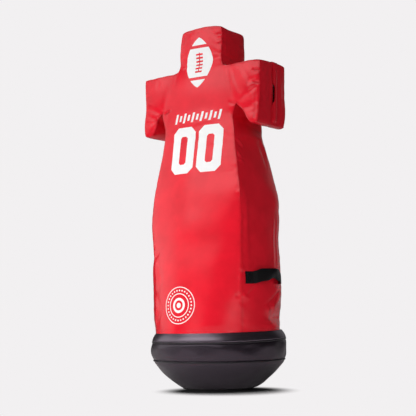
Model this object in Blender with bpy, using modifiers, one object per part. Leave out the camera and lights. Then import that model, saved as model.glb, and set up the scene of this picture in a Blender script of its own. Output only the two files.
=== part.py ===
"""Pop-up tackle dummy: a padded body with a head and arms on a weighted, rounded base bag.

Frame: the origin is on the floor under the middle of the base, +Z is up, the front faces -Y
and +X is the right as seen from the front. Sizes are in metres.
"""

import math
from dataclasses import dataclass

import bmesh
import bpy
from mathutils import Matrix, Vector

# Driving dimensions: heights above the floor
HEIGHT = 1.524
SHOULDER_Z = 1.345
ARMPIT_Z = 1.170
ARM_LOW_Z = 1.086
FLEX_TOP_Z = 0.427
FLEX_Z = 0.330
HEM_Z = 0.235
BAND_TOP_Z = 0.196
BAND_LOW_Z = 0.119

# Driving dimensions: the body's widths and depths, from the middle plane or the axis
HEM_RADIUS = 0.262
SEAM_ANGLE = math.radians(55.7)
ARM_TOP_X = 0.294
ARM_LOW_X = 0.283
ARM_LOW_INNER_X = 0.250
ARM_HALF_DEPTH = 0.109
NECK_X = 0.109
HEAD_TOP_X = 0.098
HEAD_HALF_DEPTH = 0.091
HEAD_DOME = 0.008
CHEST_BULGE = 0.008
NECK_BLEND = 0.045
ARM_CORNER_RADIUS = 0.010
HEAD_CORNER_RADIUS = 0.024

# Driving dimensions: the base bag
BASE_STANDOFF = 0.022
BAND_PUFF = 0.005
CONTACT_RADIUS = 0.150
BOWL_BULGE = 0.011
COLLAR_STANDOFF = 0.0095
PIPING_RADIUS = 0.0035
WEAR_DISC_THICKNESS = 0.004

# Driving dimensions: what the base holds
PLATE_RADIUS = 0.165
PLATE_THICKNESS = 0.045
PLATE_NAMES = ("ballast_plate_lower", "ballast_plate_middle", "ballast_plate_upper")
POCKET_FLOOR_Z = 0.030
DECK_INSET = 0.0275
DECK_THICKNESS = 0.018
BOLT_RADIUS = 0.008
BOLT_HEAD_RADIUS = 0.0135
BOLT_HEAD_HEIGHT = 0.009
BOLT_HOLE_RADIUS = 0.0085
BOLT_END = 0.006
WASHER_RADIUS = 0.017
WASHER_THICKNESS = 0.003
NUT_RADIUS = 0.0139
NUT_HEIGHT = 0.013
FOAM_HOLE_RADIUS = 0.030
PLATE_CLEARANCE = 0.0009
LINER_BELOW_HEM = 0.0135
COLUMN_SLAB_HALF = 0.010
COLUMN_SLAB_INSET = 0.055

# Driving dimensions: the handles
HANDLE_Z = 0.456
WEBBING_WIDTH = 0.050
WEBBING_THICKNESS = 0.0024
HANDLE_HALF_LENGTH = 0.138
TAB_SEWN_LENGTH = 0.030
TAB_RAMP_LENGTH = 0.024
STRAP_END_STANDOFF = 0.014
STRAP_MIDDLE_STANDOFF = 0.028

# Driving dimensions: the zip in the right arm's gusset
ZIP_Y = 0.014
ZIP_GAP = 0.012
ZIP_TAPE_WIDTH = 0.030
ZIP_TAPE_THICKNESS = 0.0008
ZIP_TAPE_END_INSET = 0.020
ZIP_TEETH_WIDTH = 0.005
ZIP_TEETH_HEIGHT = 0.0012
SLIDER_LENGTH = 0.014
SLIDER_WIDTH = 0.010
SLIDER_THICKNESS = 0.003
SLIDER_FROM_ARM_END = 0.050
PULL_LENGTH = 0.020
PULL_WIDTH = 0.007
PULL_THICKNESS = 0.0014
PULL_PIN_RADIUS = 0.0012
FLAP_STANDOFF = 0.010
FLAP_THICKNESS = 0.0012
FLAP_FREE_Y = -0.010
FLAP_SEWN_Y = 0.044
FLAP_FOLD_Y = 0.0235
METAL_ROUNDING = 0.25

# Sheets, clearances and how finely round shapes are cut
COVER = 0.0015
GAP = 0.0003
FOAM_CLEARANCE = 0.0022
BASE_CLEARANCE = 0.0008
RING_STEPS = 48
SMALL_RING_STEPS = 16
ARC_STEPS = 8
SIDE_STEPS = 4
ROW_HEIGHT = 0.10
NECK_ROW_HEIGHT = 0.03
ROW_MARGIN = 0.004
MERGE_DISTANCE = 0.00005
SHARP_ANGLE = math.radians(35)
PANEL_COLUMN = 0.06
CORNER_STEPS = 4
BOWL_STEPS = 6
STRAP_STEPS = 10

# Sizes that follow from the others
FOAM_INSET = COVER + FOAM_CLEARANCE
SEAM_STEP = COVER + 4 * GAP
BASE_RADIUS = HEM_RADIUS + BASE_STANDOFF
COLLAR_TOP_RADIUS = HEM_RADIUS + COLLAR_STANDOFF
DECK_RADIUS = HEM_RADIUS - DECK_INSET
BOWL_FLOOR_Z = WEAR_DISC_THICKNESS + GAP
STACK_TOP_Z = POCKET_FLOOR_Z + len(PLATE_NAMES) * (PLATE_THICKNESS + GAP)
DECK_TOP_Z = STACK_TOP_Z + GAP + DECK_THICKNESS
LINER_TOP_Z = HEM_Z - LINER_BELOW_HEM
SKIRT_LOW_Z = LINER_TOP_Z + 2 * GAP
COLUMN_SPAN = PANEL_COLUMN * math.ceil(ARM_TOP_X / PANEL_COLUMN)


@dataclass(frozen=True)
class Station:
    """The body's section at one height: half sizes at the panel seams and on the centre lines."""

    z: float
    seam_x: float
    seam_y: float
    front: float
    side: float


BODY_STATIONS = (
    Station(
        HEM_Z,
        HEM_RADIUS * math.sin(SEAM_ANGLE),
        HEM_RADIUS * math.cos(SEAM_ANGLE),
        HEM_RADIUS,
        HEM_RADIUS,
    ),
    Station(0.340, 0.2230, 0.1520, 0.2520, 0.2580),
    Station(0.470, 0.2250, 0.1535, 0.2340, 0.2510),
    Station(0.600, 0.2220, 0.1510, 0.2130, 0.2440),
    Station(0.770, 0.2220, 0.1515, 0.1860, 0.2360),
    Station(0.900, 0.2040, 0.1390, 0.1600, 0.2120),
    Station(1.040, 0.1780, 0.1200, 0.1320, 0.1830),
    Station(ARMPIT_Z, 0.1840, 0.1100, 0.1180, 0.1845),
)
ARMPIT_X = BODY_STATIONS[-1].seam_x
ARM_CORNERS = (
    (ARMPIT_X, ARMPIT_Z),
    (ARM_LOW_INNER_X, ARM_LOW_Z),
    (ARM_LOW_X, ARM_LOW_Z),
    (ARM_TOP_X, SHOULDER_Z),
    (NECK_X, SHOULDER_Z),
)


# Small geometry helpers


def mix(a, b, t):
    """The value a share t of the way from a to b."""
    return a + (b - a) * t


def ease(t):
    """A smooth step from 0 to 1."""
    t = min(1.0, max(0.0, t))
    return t * t * (3 - 2 * t)


def arc_rise(offset, half_chord, rise):
    """Height above its chord of a circular arc, at an offset from the chord's middle."""
    if rise < 1e-6:
        return 0.0
    radius = (half_chord**2 + rise**2) / (2 * rise)
    offset = min(abs(offset), half_chord)
    return math.sqrt(radius**2 - offset**2) - (radius - rise)


def smooth_through(knots, values, at):
    """A smooth curve through (knot, value) pairs, read at one place."""
    at = min(max(at, knots[0]), knots[-1])
    last = len(knots) - 1
    i = next(k for k in range(last) if at <= knots[k + 1])

    def slope(k):
        before, after = max(k - 1, 0), min(k + 1, last)
        return (values[after] - values[before]) / (knots[after] - knots[before])

    span = knots[i + 1] - knots[i]
    t = (at - knots[i]) / span
    start = (2 * t**3 - 3 * t**2 + 1) * values[i] + (t**3 - 2 * t**2 + t) * span * slope(i)
    end = (3 * t**2 - 2 * t**3) * values[i + 1] + (t**3 - t**2) * span * slope(i + 1)
    return start + end


def body_section(z):
    """The body's section at height z, on smooth curves through the stations."""
    knots = [s.z for s in BODY_STATIONS]

    def read(field):
        return smooth_through(knots, [getattr(s, field) for s in BODY_STATIONS], z)

    return Station(z, read("seam_x"), read("seam_y"), read("front"), read("side"))


def front_reach(x, z):
    """How far the front face stands from the middle plane at (x, z)."""
    x = abs(x)
    if z <= ARMPIT_Z:
        section = body_section(z)
        under_arm = mix(ARMPIT_X, ARM_LOW_INNER_X, (ARMPIT_Z - z) / (ARMPIT_Z - ARM_LOW_Z))
        if z > ARM_LOW_Z - ROW_MARGIN and x > (section.seam_x + under_arm) / 2:
            return ARM_HALF_DEPTH
        return section.seam_y + arc_rise(x, section.seam_x, section.front - section.seam_y)
    up = ease((z - SHOULDER_Z + NECK_BLEND) / (2 * NECK_BLEND))
    across = 1 - ease((x - NECK_X) / (ARMPIT_X - NECK_X))
    edge = mix(ARM_HALF_DEPTH, HEAD_HALF_DEPTH, up * across)
    half = mix(ARMPIT_X, NECK_X, up)
    return edge + arc_rise(x, half, CHEST_BULGE)


def side_reach(y, z):
    """How far the body's side face stands from the middle at (y, z)."""
    section = body_section(z)
    return section.seam_x + arc_rise(y, section.seam_y, section.side - section.seam_x)


def even_steps(start, end, longest):
    """Values from start to end in equal steps no longer than the given one."""
    count = max(1, math.ceil(abs(end - start) / longest - 1e-6))
    return [mix(start, end, i / count) for i in range(count + 1)]


def rows_between(low, high):
    """The heights between two levels at which every panel and foam block has a row."""
    neck_low, neck_top = SHOULDER_Z - NECK_BLEND, SHOULDER_Z + NECK_BLEND
    levels = [SKIRT_LOW_Z, HEM_Z, FLEX_Z, FLEX_TOP_Z, ARMPIT_Z]
    levels += [neck_low, SHOULDER_Z, neck_top, HEIGHT]
    longest = [ROW_HEIGHT] * 5 + [NECK_ROW_HEIGHT] * 2 + [ROW_HEIGHT]
    rows = [SKIRT_LOW_Z]
    for start, end, step in zip(levels, levels[1:], longest):
        rows += even_steps(start, end, step)[1:]
    return [z for z in rows if low + ROW_MARGIN < z < high - ROW_MARGIN]


def rounded_path(points, radii):
    """A path through 2D points, with each inner corner rounded to its radius."""
    path = [Vector(points[0])]
    for before, corner, after, radius in zip(points, points[1:], points[2:], radii):
        corner = Vector(corner)
        back = (Vector(before) - corner).normalized()
        ahead = (Vector(after) - corner).normalized()
        half = back.angle(ahead) / 2
        reach = radius / math.tan(half)
        middle = corner + (back + ahead).normalized() * (radius / math.sin(half))
        first = corner + back * reach - middle
        turn = (math.pi - 2 * half) * (1 if first.cross(corner + ahead * reach - middle) > 0 else -1)
        for i in range(CORNER_STEPS + 1):
            a = turn * i / CORNER_STEPS
            spun = (
                first.x * math.cos(a) - first.y * math.sin(a),
                first.x * math.sin(a) + first.y * math.cos(a),
            )
            path.append(middle + Vector(spun))
    path.append(Vector(points[-1]))
    return path


def path_normals(path):
    """The right-hand normal at each point of a 2D path, from the points before and after it."""
    normals = []
    for i in range(len(path)):
        along = path[min(i + 1, len(path) - 1)] - path[max(i - 1, 0)]
        normals.append(Vector((along.y, -along.x)).normalized())
    return normals


def inset_polygon(points, distances):
    """A convex polygon, listed anticlockwise, with each edge moved in by its own distance."""
    count = len(points)
    lines = []
    for i in range(count):
        start, end = Vector(points[i]), Vector(points[(i + 1) % count])
        along = (end - start).normalized()
        lines.append((start + Vector((-along.y, along.x)) * distances[i], along))
    corners = []
    for i in range(count):
        (p, u), (q, v) = lines[i - 1], lines[i]
        corners.append(p + u * ((q - p).cross(v) / u.cross(v)))
    return corners


def arm_outline():
    """The right arm's outline in the front view, from the armpit round to the neck."""
    path = rounded_path(ARM_CORNERS, [ARM_CORNER_RADIUS] * 3)
    columns = [k * PANEL_COLUMN for k in range(round(COLUMN_SPAN / PANEL_COLUMN), 0, -1)]
    on_top = [x for x in columns if NECK_X + ROW_MARGIN < x < path[-2].x - ROW_MARGIN]
    return [*path[:-1], *(Vector((x, SHOULDER_Z)) for x in on_top), path[-1]]


def head_outline():
    """The head's right half in the front view, from the neck to the middle of its top."""
    corners = [(NECK_X, SHOULDER_Z), (HEAD_TOP_X, HEIGHT - HEAD_DOME), (0.0, HEIGHT)]
    path = rounded_path(corners, [HEAD_CORNER_RADIUS])
    neck, corner = path[0], path[1]
    rows = rows_between(neck.y, corner.y)
    up_the_side = [neck.lerp(corner, (z - neck.y) / (corner.y - neck.y)) for z in rows]
    return [neck, *up_the_side, *path[1:]]


# Object helpers


def new_collection(name):
    """A new collection in the scene."""
    collection = bpy.data.collections.new(name)
    bpy.context.scene.collection.children.link(collection)
    return collection


def material(name, colour, roughness, metallic=0.0):
    """A plain Principled material."""
    made = bpy.data.materials.new(name)
    made.use_nodes = True
    shader = made.node_tree.nodes["Principled BSDF"]
    shader.inputs["Base Color"].default_value = (*colour, 1.0)
    shader.inputs["Roughness"].default_value = roughness
    shader.inputs["Metallic"].default_value = metallic
    return made


def red_vinyl(name):
    return material(name, (0.80, 0.03, 0.055), 0.35)


def black_vinyl(name):
    return material(name, (0.026, 0.022, 0.027), 0.45)


def rubber(name):
    return material(name, (0.010, 0.010, 0.010), 0.8)


def foam(name):
    return material(name, (0.72, 0.70, 0.62), 0.95)


def webbing(name):
    return material(name, (0.012, 0.011, 0.013), 0.6)


def steel(name):
    return material(name, (0.55, 0.55, 0.56), 0.35, 1.0)


def cast_iron(name):
    return material(name, (0.09, 0.09, 0.095), 0.6, 0.8)


def plywood(name):
    return material(name, (0.62, 0.45, 0.27), 0.7)


def finish(bm, name, make_material):
    """Turn a bmesh into a named object of the dummy."""
    mesh = bpy.data.meshes.new(name)
    bm.to_mesh(mesh)
    bm.free()
    mesh.shade_smooth()
    mesh.set_sharp_from_angle(angle=SHARP_ANGLE)
    made = bpy.data.objects.new(name, mesh)
    made.data.materials.append(make_material(name))
    PARTS.objects.link(made)
    return made


def thicken(made, thickness):
    """Give an open sheet its thickness, inwards from the face it was drawn on."""
    shell = made.modifiers.new("thickness", "SOLIDIFY")
    shell.thickness = thickness
    shell.offset = -1.0
    shell.use_even_offset = True
    return made


def cut(made, cutter):
    """Take a cutter away from an object."""
    CUTTERS.objects.link(cutter)
    cutter.hide_render = True
    cutter.display_type = "WIRE"
    boolean = made.modifiers.new("cut", "BOOLEAN")
    boolean.operation = "DIFFERENCE"
    boolean.solver = "EXACT"
    boolean.object = cutter


def sheet(name, rows, inside, make_material, thickness=COVER, closed=False):
    """A thickened sheet through rows of points, facing away from a point inside."""
    bm = bmesh.new()
    grid = [[bm.verts.new(p) for p in row] for row in rows]
    for lower, upper in zip(grid, grid[1:]):
        count = len(lower)
        for i in range(count if closed else count - 1):
            j = (i + 1) % count
            bm.faces.new((lower[i], lower[j], upper[j], upper[i]))
    bm.normal_update()
    facing = sum((f.calc_center_median() - inside).dot(f.normal) * f.calc_area() for f in bm.faces)
    if facing < 0:
        bmesh.ops.reverse_faces(bm, faces=bm.faces)
    return thicken(finish(bm, name, make_material), thickness)


def loft(name, rings, make_material):
    """A closed solid through rings of points, with flat ends."""
    bm = bmesh.new()
    grid = [[bm.verts.new(p) for p in ring] for ring in rings]
    for lower, upper in zip(grid, grid[1:]):
        for i in range(len(lower)):
            j = (i + 1) % len(lower)
            bm.faces.new((lower[i], lower[j], upper[j], upper[i]))
    bm.faces.new(grid[0])
    bm.faces.new(grid[-1])
    bmesh.ops.recalc_face_normals(bm, faces=bm.faces)
    return finish(bm, name, make_material)


def turned(name, profile, make_material, steps=RING_STEPS):
    """A solid or a surface turned about Z from a profile of (radius, z) points."""
    bm = bmesh.new()
    verts = [bm.verts.new((radius, 0.0, z)) for radius, z in profile]
    for a, b in zip(verts, verts[1:]):
        bm.edges.new((a, b))
    if all(radius > 0 for radius, _ in profile):
        bm.edges.new((verts[-1], verts[0]))
    return screw(finish(bm, name, make_material), steps)


def turned_sheet(name, profile, make_material):
    """A thin sheet turned about Z, with its thickness inside the profile."""
    bm = bmesh.new()
    verts = [bm.verts.new((radius, 0.0, z)) for radius, z in profile]
    for a, b in zip(verts, verts[1:]):
        bm.edges.new((a, b))
    return thicken(screw(finish(bm, name, make_material), RING_STEPS), COVER)


def screw(made, steps):
    """Turn an object's profile about Z."""
    turn = made.modifiers.new("turn", "SCREW")
    turn.axis = "Z"
    turn.steps = steps
    turn.render_steps = steps
    turn.use_merge_vertices = True
    turn.merge_threshold = MERGE_DISTANCE
    turn.use_smooth_shade = True
    return made


def ring_profile(inner, outer, low, high):
    """The profile of a flat ring: down its outer side, then up its bore."""
    return [(outer, high), (outer, low), (inner, low), (inner, high)]


def ring_points(z, inset):
    """Points round the body's section at height z, moved in by an inset."""
    section = body_section(z)
    front_rise = section.front - section.seam_y
    side_rise = section.side - section.seam_x
    quarter = []
    for i in range(ARC_STEPS):
        x = mix(-section.seam_x, section.seam_x, i / ARC_STEPS)
        quarter.append(Vector((x, -section.seam_y - arc_rise(x, section.seam_x, front_rise))))
    for i in range(SIDE_STEPS):
        y = mix(-section.seam_y, section.seam_y, i / SIDE_STEPS)
        quarter.append(Vector((section.seam_x + arc_rise(y, section.seam_y, side_rise), y)))
    outline = quarter + [-p for p in quarter]
    moved = inset_polygon(outline, [inset] * len(outline))
    return [Vector((p.x, p.y, z)) for p in moved]


def body_rings(low, high, inset):
    """Rings of the body's section from low to high."""
    return [ring_points(z, inset) for z in (low, *rows_between(low, high), high)]


def slab(name, outline, make_material):
    """A foam block from its outline in the front view, as deep as the body lets it be."""
    bm = bmesh.new()
    face = bm.faces.new([bm.verts.new((x, -1.0, z)) for x, z in outline])
    grown = bmesh.ops.extrude_face_region(bm, geom=[face])
    for vert in grown["geom"]:
        if isinstance(vert, bmesh.types.BMVert):
            vert.co.y = 1.0
    slice_by_planes(bm, outline)
    for vert in bm.verts:
        reach = front_reach(vert.co.x, vert.co.z) - FOAM_INSET
        vert.co.y = math.copysign(reach, vert.co.y)
    bmesh.ops.recalc_face_normals(bm, faces=bm.faces)
    return finish(bm, name, make_material)


def slice_by_planes(bm, outline):
    """Slice a flat shape along the shared rows and columns, so that it can follow the body."""
    xs = [x for x, _ in outline]
    zs = [z for _, z in outline]
    for x in even_steps(-COLUMN_SPAN, COLUMN_SPAN, PANEL_COLUMN):
        if min(xs) + ROW_MARGIN < x < max(xs) - ROW_MARGIN:
            whole = bm.verts[:] + bm.edges[:] + bm.faces[:]
            bmesh.ops.bisect_plane(bm, geom=whole, dist=1e-6, plane_co=(x, 0, 0), plane_no=(1, 0, 0))
    for z in rows_between(min(zs), max(zs)):
        whole = bm.verts[:] + bm.edges[:] + bm.faces[:]
        bmesh.ops.bisect_plane(bm, geom=whole, dist=1e-6, plane_co=(0, 0, z), plane_no=(0, 0, 1))


def twin(made, name, axis):
    """A mirror twin of an object, across the plane through the origin that an axis is square to."""
    other = made.copy()
    other.name = name
    other.data = made.data.copy()
    other.data.name = name
    flip = Matrix.Scale(-1.0, 4, axis)
    other.data.transform(flip)
    other.data.flip_normals()
    other.location = flip @ made.location
    other.data.materials[0] = made.data.materials[0].copy()
    other.data.materials[0].name = name
    PARTS.objects.link(other)
    return other


def pivot(name, place, parent=None):
    """An empty on a joint's axis."""
    empty = bpy.data.objects.new(name, None)
    empty.empty_display_size = 0.05
    PARTS.objects.link(empty)
    empty.parent = parent
    empty.location = Vector(place) - (PLACES[parent.name] if parent else Vector())
    PLACES[name] = Vector(place)
    return empty


def hang(made, parent, place=None):
    """Parent an object to an empty, with its own origin at a place in the world."""
    place = PLACES[parent.name] if place is None else Vector(place)
    made.data.transform(Matrix.Translation(made.location - place))
    made.parent = parent
    made.location = place - PLACES[parent.name]
    return made


# The base bag


def bowl_profile():
    """The bowl's outer side, from its seam down to the edge of the contact patch."""
    top = Vector((BASE_RADIUS - BAND_PUFF - COVER, BAND_LOW_Z - PIPING_RADIUS - COVER))
    foot = Vector((CONTACT_RADIUS + 2 * COVER, BOWL_FLOOR_Z))
    chord = foot - top
    outward = Vector((-chord.y, chord.x)).normalized()
    points = []
    for i in range(BOWL_STEPS + 1):
        t = i / BOWL_STEPS
        rise = arc_rise((t - 0.5) * chord.length, chord.length / 2, BOWL_BULGE)
        points.append(tuple(top + chord * t + outward * rise))
    return points


def collar_radius(z):
    """The collar's outer radius at a height."""
    share = (z - BAND_TOP_Z) / (HEM_Z - BAND_TOP_Z)
    return mix(BASE_RADIUS - COVER, COLLAR_TOP_RADIUS, share)


def band_profile():
    """The puffed side band, from the upper seam to the lower one."""
    top, low = BAND_TOP_Z - PIPING_RADIUS - GAP, BAND_LOW_Z + PIPING_RADIUS + GAP
    points = []
    for i in range(BOWL_STEPS + 1):
        z = mix(top, low, i / BOWL_STEPS)
        lean = mix(0.0, BAND_PUFF, i / BOWL_STEPS)
        puff = arc_rise(z - (top + low) / 2, (top - low) / 2, BAND_PUFF)
        points.append((BASE_RADIUS - COVER - lean + puff, z))
    return points


def build_base_covers():
    """The black bag: its wear disc, bowl, side band and collar, and the piped seams."""
    bevel = WEAR_DISC_THICKNESS / 3
    disc = [
        (0.0, WEAR_DISC_THICKNESS),
        (CONTACT_RADIUS - bevel, WEAR_DISC_THICKNESS),
        (CONTACT_RADIUS, WEAR_DISC_THICKNESS - bevel),
        (CONTACT_RADIUS, bevel),
        (CONTACT_RADIUS - bevel, 0.0),
        (0.0, 0.0),
    ]
    turned("wear_disc", disc, rubber)
    turned_sheet("bowl_cover", [*bowl_profile(), (0.0, BOWL_FLOOR_Z)], black_vinyl)
    turned_sheet("side_band_cover", band_profile(), black_vinyl)
    low = BAND_TOP_Z + PIPING_RADIUS + GAP
    collar = [(collar_radius(z), z) for z in (HEM_Z, mix(HEM_Z, low, 0.5), low)]
    turned_sheet("collar_cover", collar, black_vinyl)
    build_piping("upper_piping", BASE_RADIUS - PIPING_RADIUS, BAND_TOP_Z)
    build_piping("lower_piping", BASE_RADIUS - BAND_PUFF - PIPING_RADIUS, BAND_LOW_Z)


def build_piping(name, radius, z):
    """A corded seam round the base."""
    profile = []
    for i in range(8):
        a = math.radians(90) - 2 * math.pi * i / 8
        profile.append((radius + PIPING_RADIUS * math.cos(a), z + PIPING_RADIUS * math.sin(a)))
    turned(name, profile, black_vinyl)


def build_base_filling():
    """What the bag holds: a foam liner, the ballast, the deck and the column's foot."""
    inset = COVER + BASE_CLEARANCE
    outer = [(collar_radius(LINER_TOP_Z) - 2 * inset, LINER_TOP_Z)]
    outer += [(BASE_RADIUS - 2 * PIPING_RADIUS - inset, BAND_TOP_Z)]
    outer += [(BASE_RADIUS - BAND_PUFF - 2 * PIPING_RADIUS - inset, BAND_LOW_Z)]
    outer += [(radius - 2 * inset, z + inset) for radius, z in bowl_profile()[1:]]
    floor = BOWL_FLOOR_Z + inset
    pocket = PLATE_RADIUS + PLATE_CLEARANCE
    recess = DECK_RADIUS + PLATE_CLEARANCE
    outer[-1] = (outer[-1][0], floor)
    inner = [
        (FOAM_HOLE_RADIUS, floor),
        (FOAM_HOLE_RADIUS, POCKET_FLOOR_Z - GAP),
        (pocket, POCKET_FLOOR_Z - GAP),
        (pocket, STACK_TOP_Z - GAP),
        (recess, STACK_TOP_Z - GAP),
        (recess, LINER_TOP_Z),
    ]
    turned("foam_bowl", outer + inner, foam)

    for i, name in enumerate(PLATE_NAMES):
        low = POCKET_FLOOR_Z + i * (PLATE_THICKNESS + GAP)
        plate = ring_profile(BOLT_HOLE_RADIUS, PLATE_RADIUS, low, low + PLATE_THICKNESS)
        turned(name, plate, cast_iron)
    deck_low = DECK_TOP_Z - DECK_THICKNESS
    deck = ring_profile(BOLT_HOLE_RADIUS, DECK_RADIUS, deck_low, DECK_TOP_Z)
    turned("base_deck", deck, plywood)
    foot = ring_profile(FOAM_HOLE_RADIUS, DECK_RADIUS, DECK_TOP_Z + GAP, HEM_Z)
    turned("column_foam_foot", foot, foam)


def build_ballast_bolt():
    """The bolt through the plates and the deck, with its washers and nut."""
    washer_low = POCKET_FLOOR_Z - GAP - WASHER_THICKNESS
    head_top = washer_low - GAP
    washer_top = DECK_TOP_Z + GAP
    nut_low = washer_top + WASHER_THICKNESS + GAP
    bolt_end = nut_low + NUT_HEIGHT + BOLT_END
    bolt = [
        (0.0, bolt_end),
        (BOLT_RADIUS, bolt_end),
        (BOLT_RADIUS, head_top),
        (BOLT_HEAD_RADIUS, head_top),
        (BOLT_HEAD_RADIUS, head_top - BOLT_HEAD_HEIGHT),
        (0.0, head_top - BOLT_HEAD_HEIGHT),
    ]
    turned("ballast_bolt", bolt, steel, SMALL_RING_STEPS)
    for name, low in (("ballast_washer_lower", washer_low), ("ballast_washer_upper", washer_top)):
        washer = ring_profile(BOLT_HOLE_RADIUS, WASHER_RADIUS, low, low + WASHER_THICKNESS)
        turned(name, washer, steel, SMALL_RING_STEPS)
    bm = bmesh.new()
    bmesh.ops.create_cone(
        bm, cap_ends=True, segments=6, radius1=NUT_RADIUS, radius2=NUT_RADIUS, depth=NUT_HEIGHT
    )
    nut = finish(bm, "ballast_nut", steel)
    nut.location.z = nut_low + NUT_HEIGHT / 2
    bore = bpy.data.objects.new("nut_bore", bpy.data.meshes.new("nut_bore"))
    bm = bmesh.new()
    bmesh.ops.create_cone(
        bm,
        cap_ends=True,
        segments=SMALL_RING_STEPS,
        radius1=BOLT_HOLE_RADIUS,
        radius2=BOLT_HOLE_RADIUS,
        depth=2 * NUT_HEIGHT,
    )
    bm.to_mesh(bore.data)
    bm.free()
    bore.location = nut.location
    cut(nut, bore)


# The column that flexes


def build_column(front_pivot, side_pivot):
    """The foam column above the base and the cover round it, in stretches that can bend."""
    inside = Vector((0.0, 0.0, FLEX_Z))
    slab_low, slab_top = FLEX_Z - COLUMN_SLAB_HALF, FLEX_Z + COLUMN_SLAB_HALF
    lower_rings = body_rings(HEM_Z + GAP, slab_low - GAP, FOAM_INSET)
    loft("column_foam_lower", lower_rings, foam)
    skirt_rows = body_rings(SKIRT_LOW_Z, FLEX_Z - GAP, 0.0)
    sheet("skirt_lower", skirt_rows, inside, red_vinyl, closed=True)
    middle = loft("column_foam_mid", body_rings(slab_low, slab_top, COLUMN_SLAB_INSET), foam)
    hang(middle, front_pivot)
    upper_rings = body_rings(slab_top + GAP, FLEX_TOP_Z - GAP, FOAM_INSET)
    hang(loft("column_foam_upper", upper_rings, foam), side_pivot)
    skirt_rows = body_rings(FLEX_Z + GAP, FLEX_TOP_Z - GAP, 0.0)
    hang(sheet("skirt_upper", skirt_rows, inside, red_vinyl, closed=True), side_pivot)


# The body above the column


def build_foam(side_pivot):
    """The body's foam blocks."""
    torso_rings = body_rings(FLEX_TOP_Z + GAP, ARMPIT_Z - GAP, FOAM_INSET)
    hang(loft("torso_foam", torso_rings, foam), side_pivot)
    shoulder = [
        (-ARMPIT_X, ARMPIT_Z),
        (ARMPIT_X, ARMPIT_Z),
        (ARMPIT_X, SHOULDER_Z),
        (-ARMPIT_X, SHOULDER_Z),
    ]
    shoulder = inset_polygon(shoulder, [GAP, GAP, FOAM_INSET, GAP])
    hang(slab("shoulder_foam", shoulder, foam), side_pivot)
    arm_inset = FOAM_INSET + ZIP_TAPE_THICKNESS
    arm = [*ARM_CORNERS[:-1], (ARMPIT_X, SHOULDER_Z)]
    arm = inset_polygon(arm, [arm_inset] * 4 + [GAP])
    arm = rounded_path(arm, [ARM_CORNER_RADIUS] * 3)
    right_arm = slab("right_arm_foam", arm, foam)
    left_arm = twin(right_arm, "left_arm_foam", (1, 0, 0))
    hang(right_arm, side_pivot)
    hang(left_arm, side_pivot)
    head = [
        (-NECK_X, SHOULDER_Z),
        (NECK_X, SHOULDER_Z),
        (HEAD_TOP_X, HEIGHT - HEAD_DOME),
        (-HEAD_TOP_X, HEIGHT - HEAD_DOME),
    ]
    head = inset_polygon(head, [GAP, FOAM_INSET, FOAM_INSET, FOAM_INSET])
    bottom_left, *others = head
    head = rounded_path([*others[:3], bottom_left], [HEAD_CORNER_RADIUS] * 2)
    hang(slab("head_foam", head, foam), side_pivot)


def build_front_and_back(side_pivot):
    """The front panel, in one piece from the column to the top of the head, and its twin."""
    torso = [
        Vector((body_section(z).seam_x, z))
        for z in (FLEX_TOP_Z, *rows_between(FLEX_TOP_Z, ARMPIT_Z))
    ]
    outline = [Vector((0.0, FLEX_TOP_Z)), *torso, *arm_outline(), *head_outline()[1:]]
    bm = bmesh.new()
    bm.faces.new([bm.verts.new((p.x, 0.0, p.y)) for p in outline])
    slice_by_planes(bm, outline)
    for vert in bm.verts:
        vert.co.y = -front_reach(vert.co.x, vert.co.z)
    bm.normal_update()
    if sum(face.normal.y * face.calc_area() for face in bm.faces) > 0:
        bmesh.ops.reverse_faces(bm, faces=bm.faces)
    front = finish(bm, "front_panel", red_vinyl)
    mirror = front.modifiers.new("mirror", "MIRROR")
    mirror.use_axis = (True, False, False)
    mirror.merge_threshold = MERGE_DISTANCE
    thicken(front, COVER)
    back = twin(front, "back_panel", (0, 1, 0))
    hang(front, side_pivot, (0.0, 0.0, FLEX_Z))
    hang(back, side_pivot, (0.0, 0.0, FLEX_Z))


def build_side_panels(side_pivot):
    """The strips between the front and back panels down the body's sides."""
    rows = []
    top = ARMPIT_Z - 2 * SEAM_STEP
    for z in (FLEX_TOP_Z, *rows_between(FLEX_TOP_Z, top), top):
        half = body_section(z).seam_y - SEAM_STEP
        ys = [mix(-half, half, i / (2 * SIDE_STEPS)) for i in range(2 * SIDE_STEPS + 1)]
        rows.append([Vector((side_reach(y, z), y, z)) for y in ys])
    right = sheet("right_side_panel", rows, Vector((0.0, 0.0, FLEX_TOP_Z)), red_vinyl)
    left = twin(right, "left_side_panel", (1, 0, 0))
    hang(right, side_pivot)
    hang(left, side_pivot)


def ribbon_rows(path, low_y=-1.0, high_y=1.0):
    """Rows of a flat strip that follows a path in the front view, between the two big panels."""
    rows = []
    for point in path:
        half = front_reach(point.x, point.y) - SEAM_STEP
        ys = (max(low_y, -half), min(high_y, half))
        rows.append([Vector((point.x, mix(*ys, i / 2), point.y)) for i in range(3)])
    return rows


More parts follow.
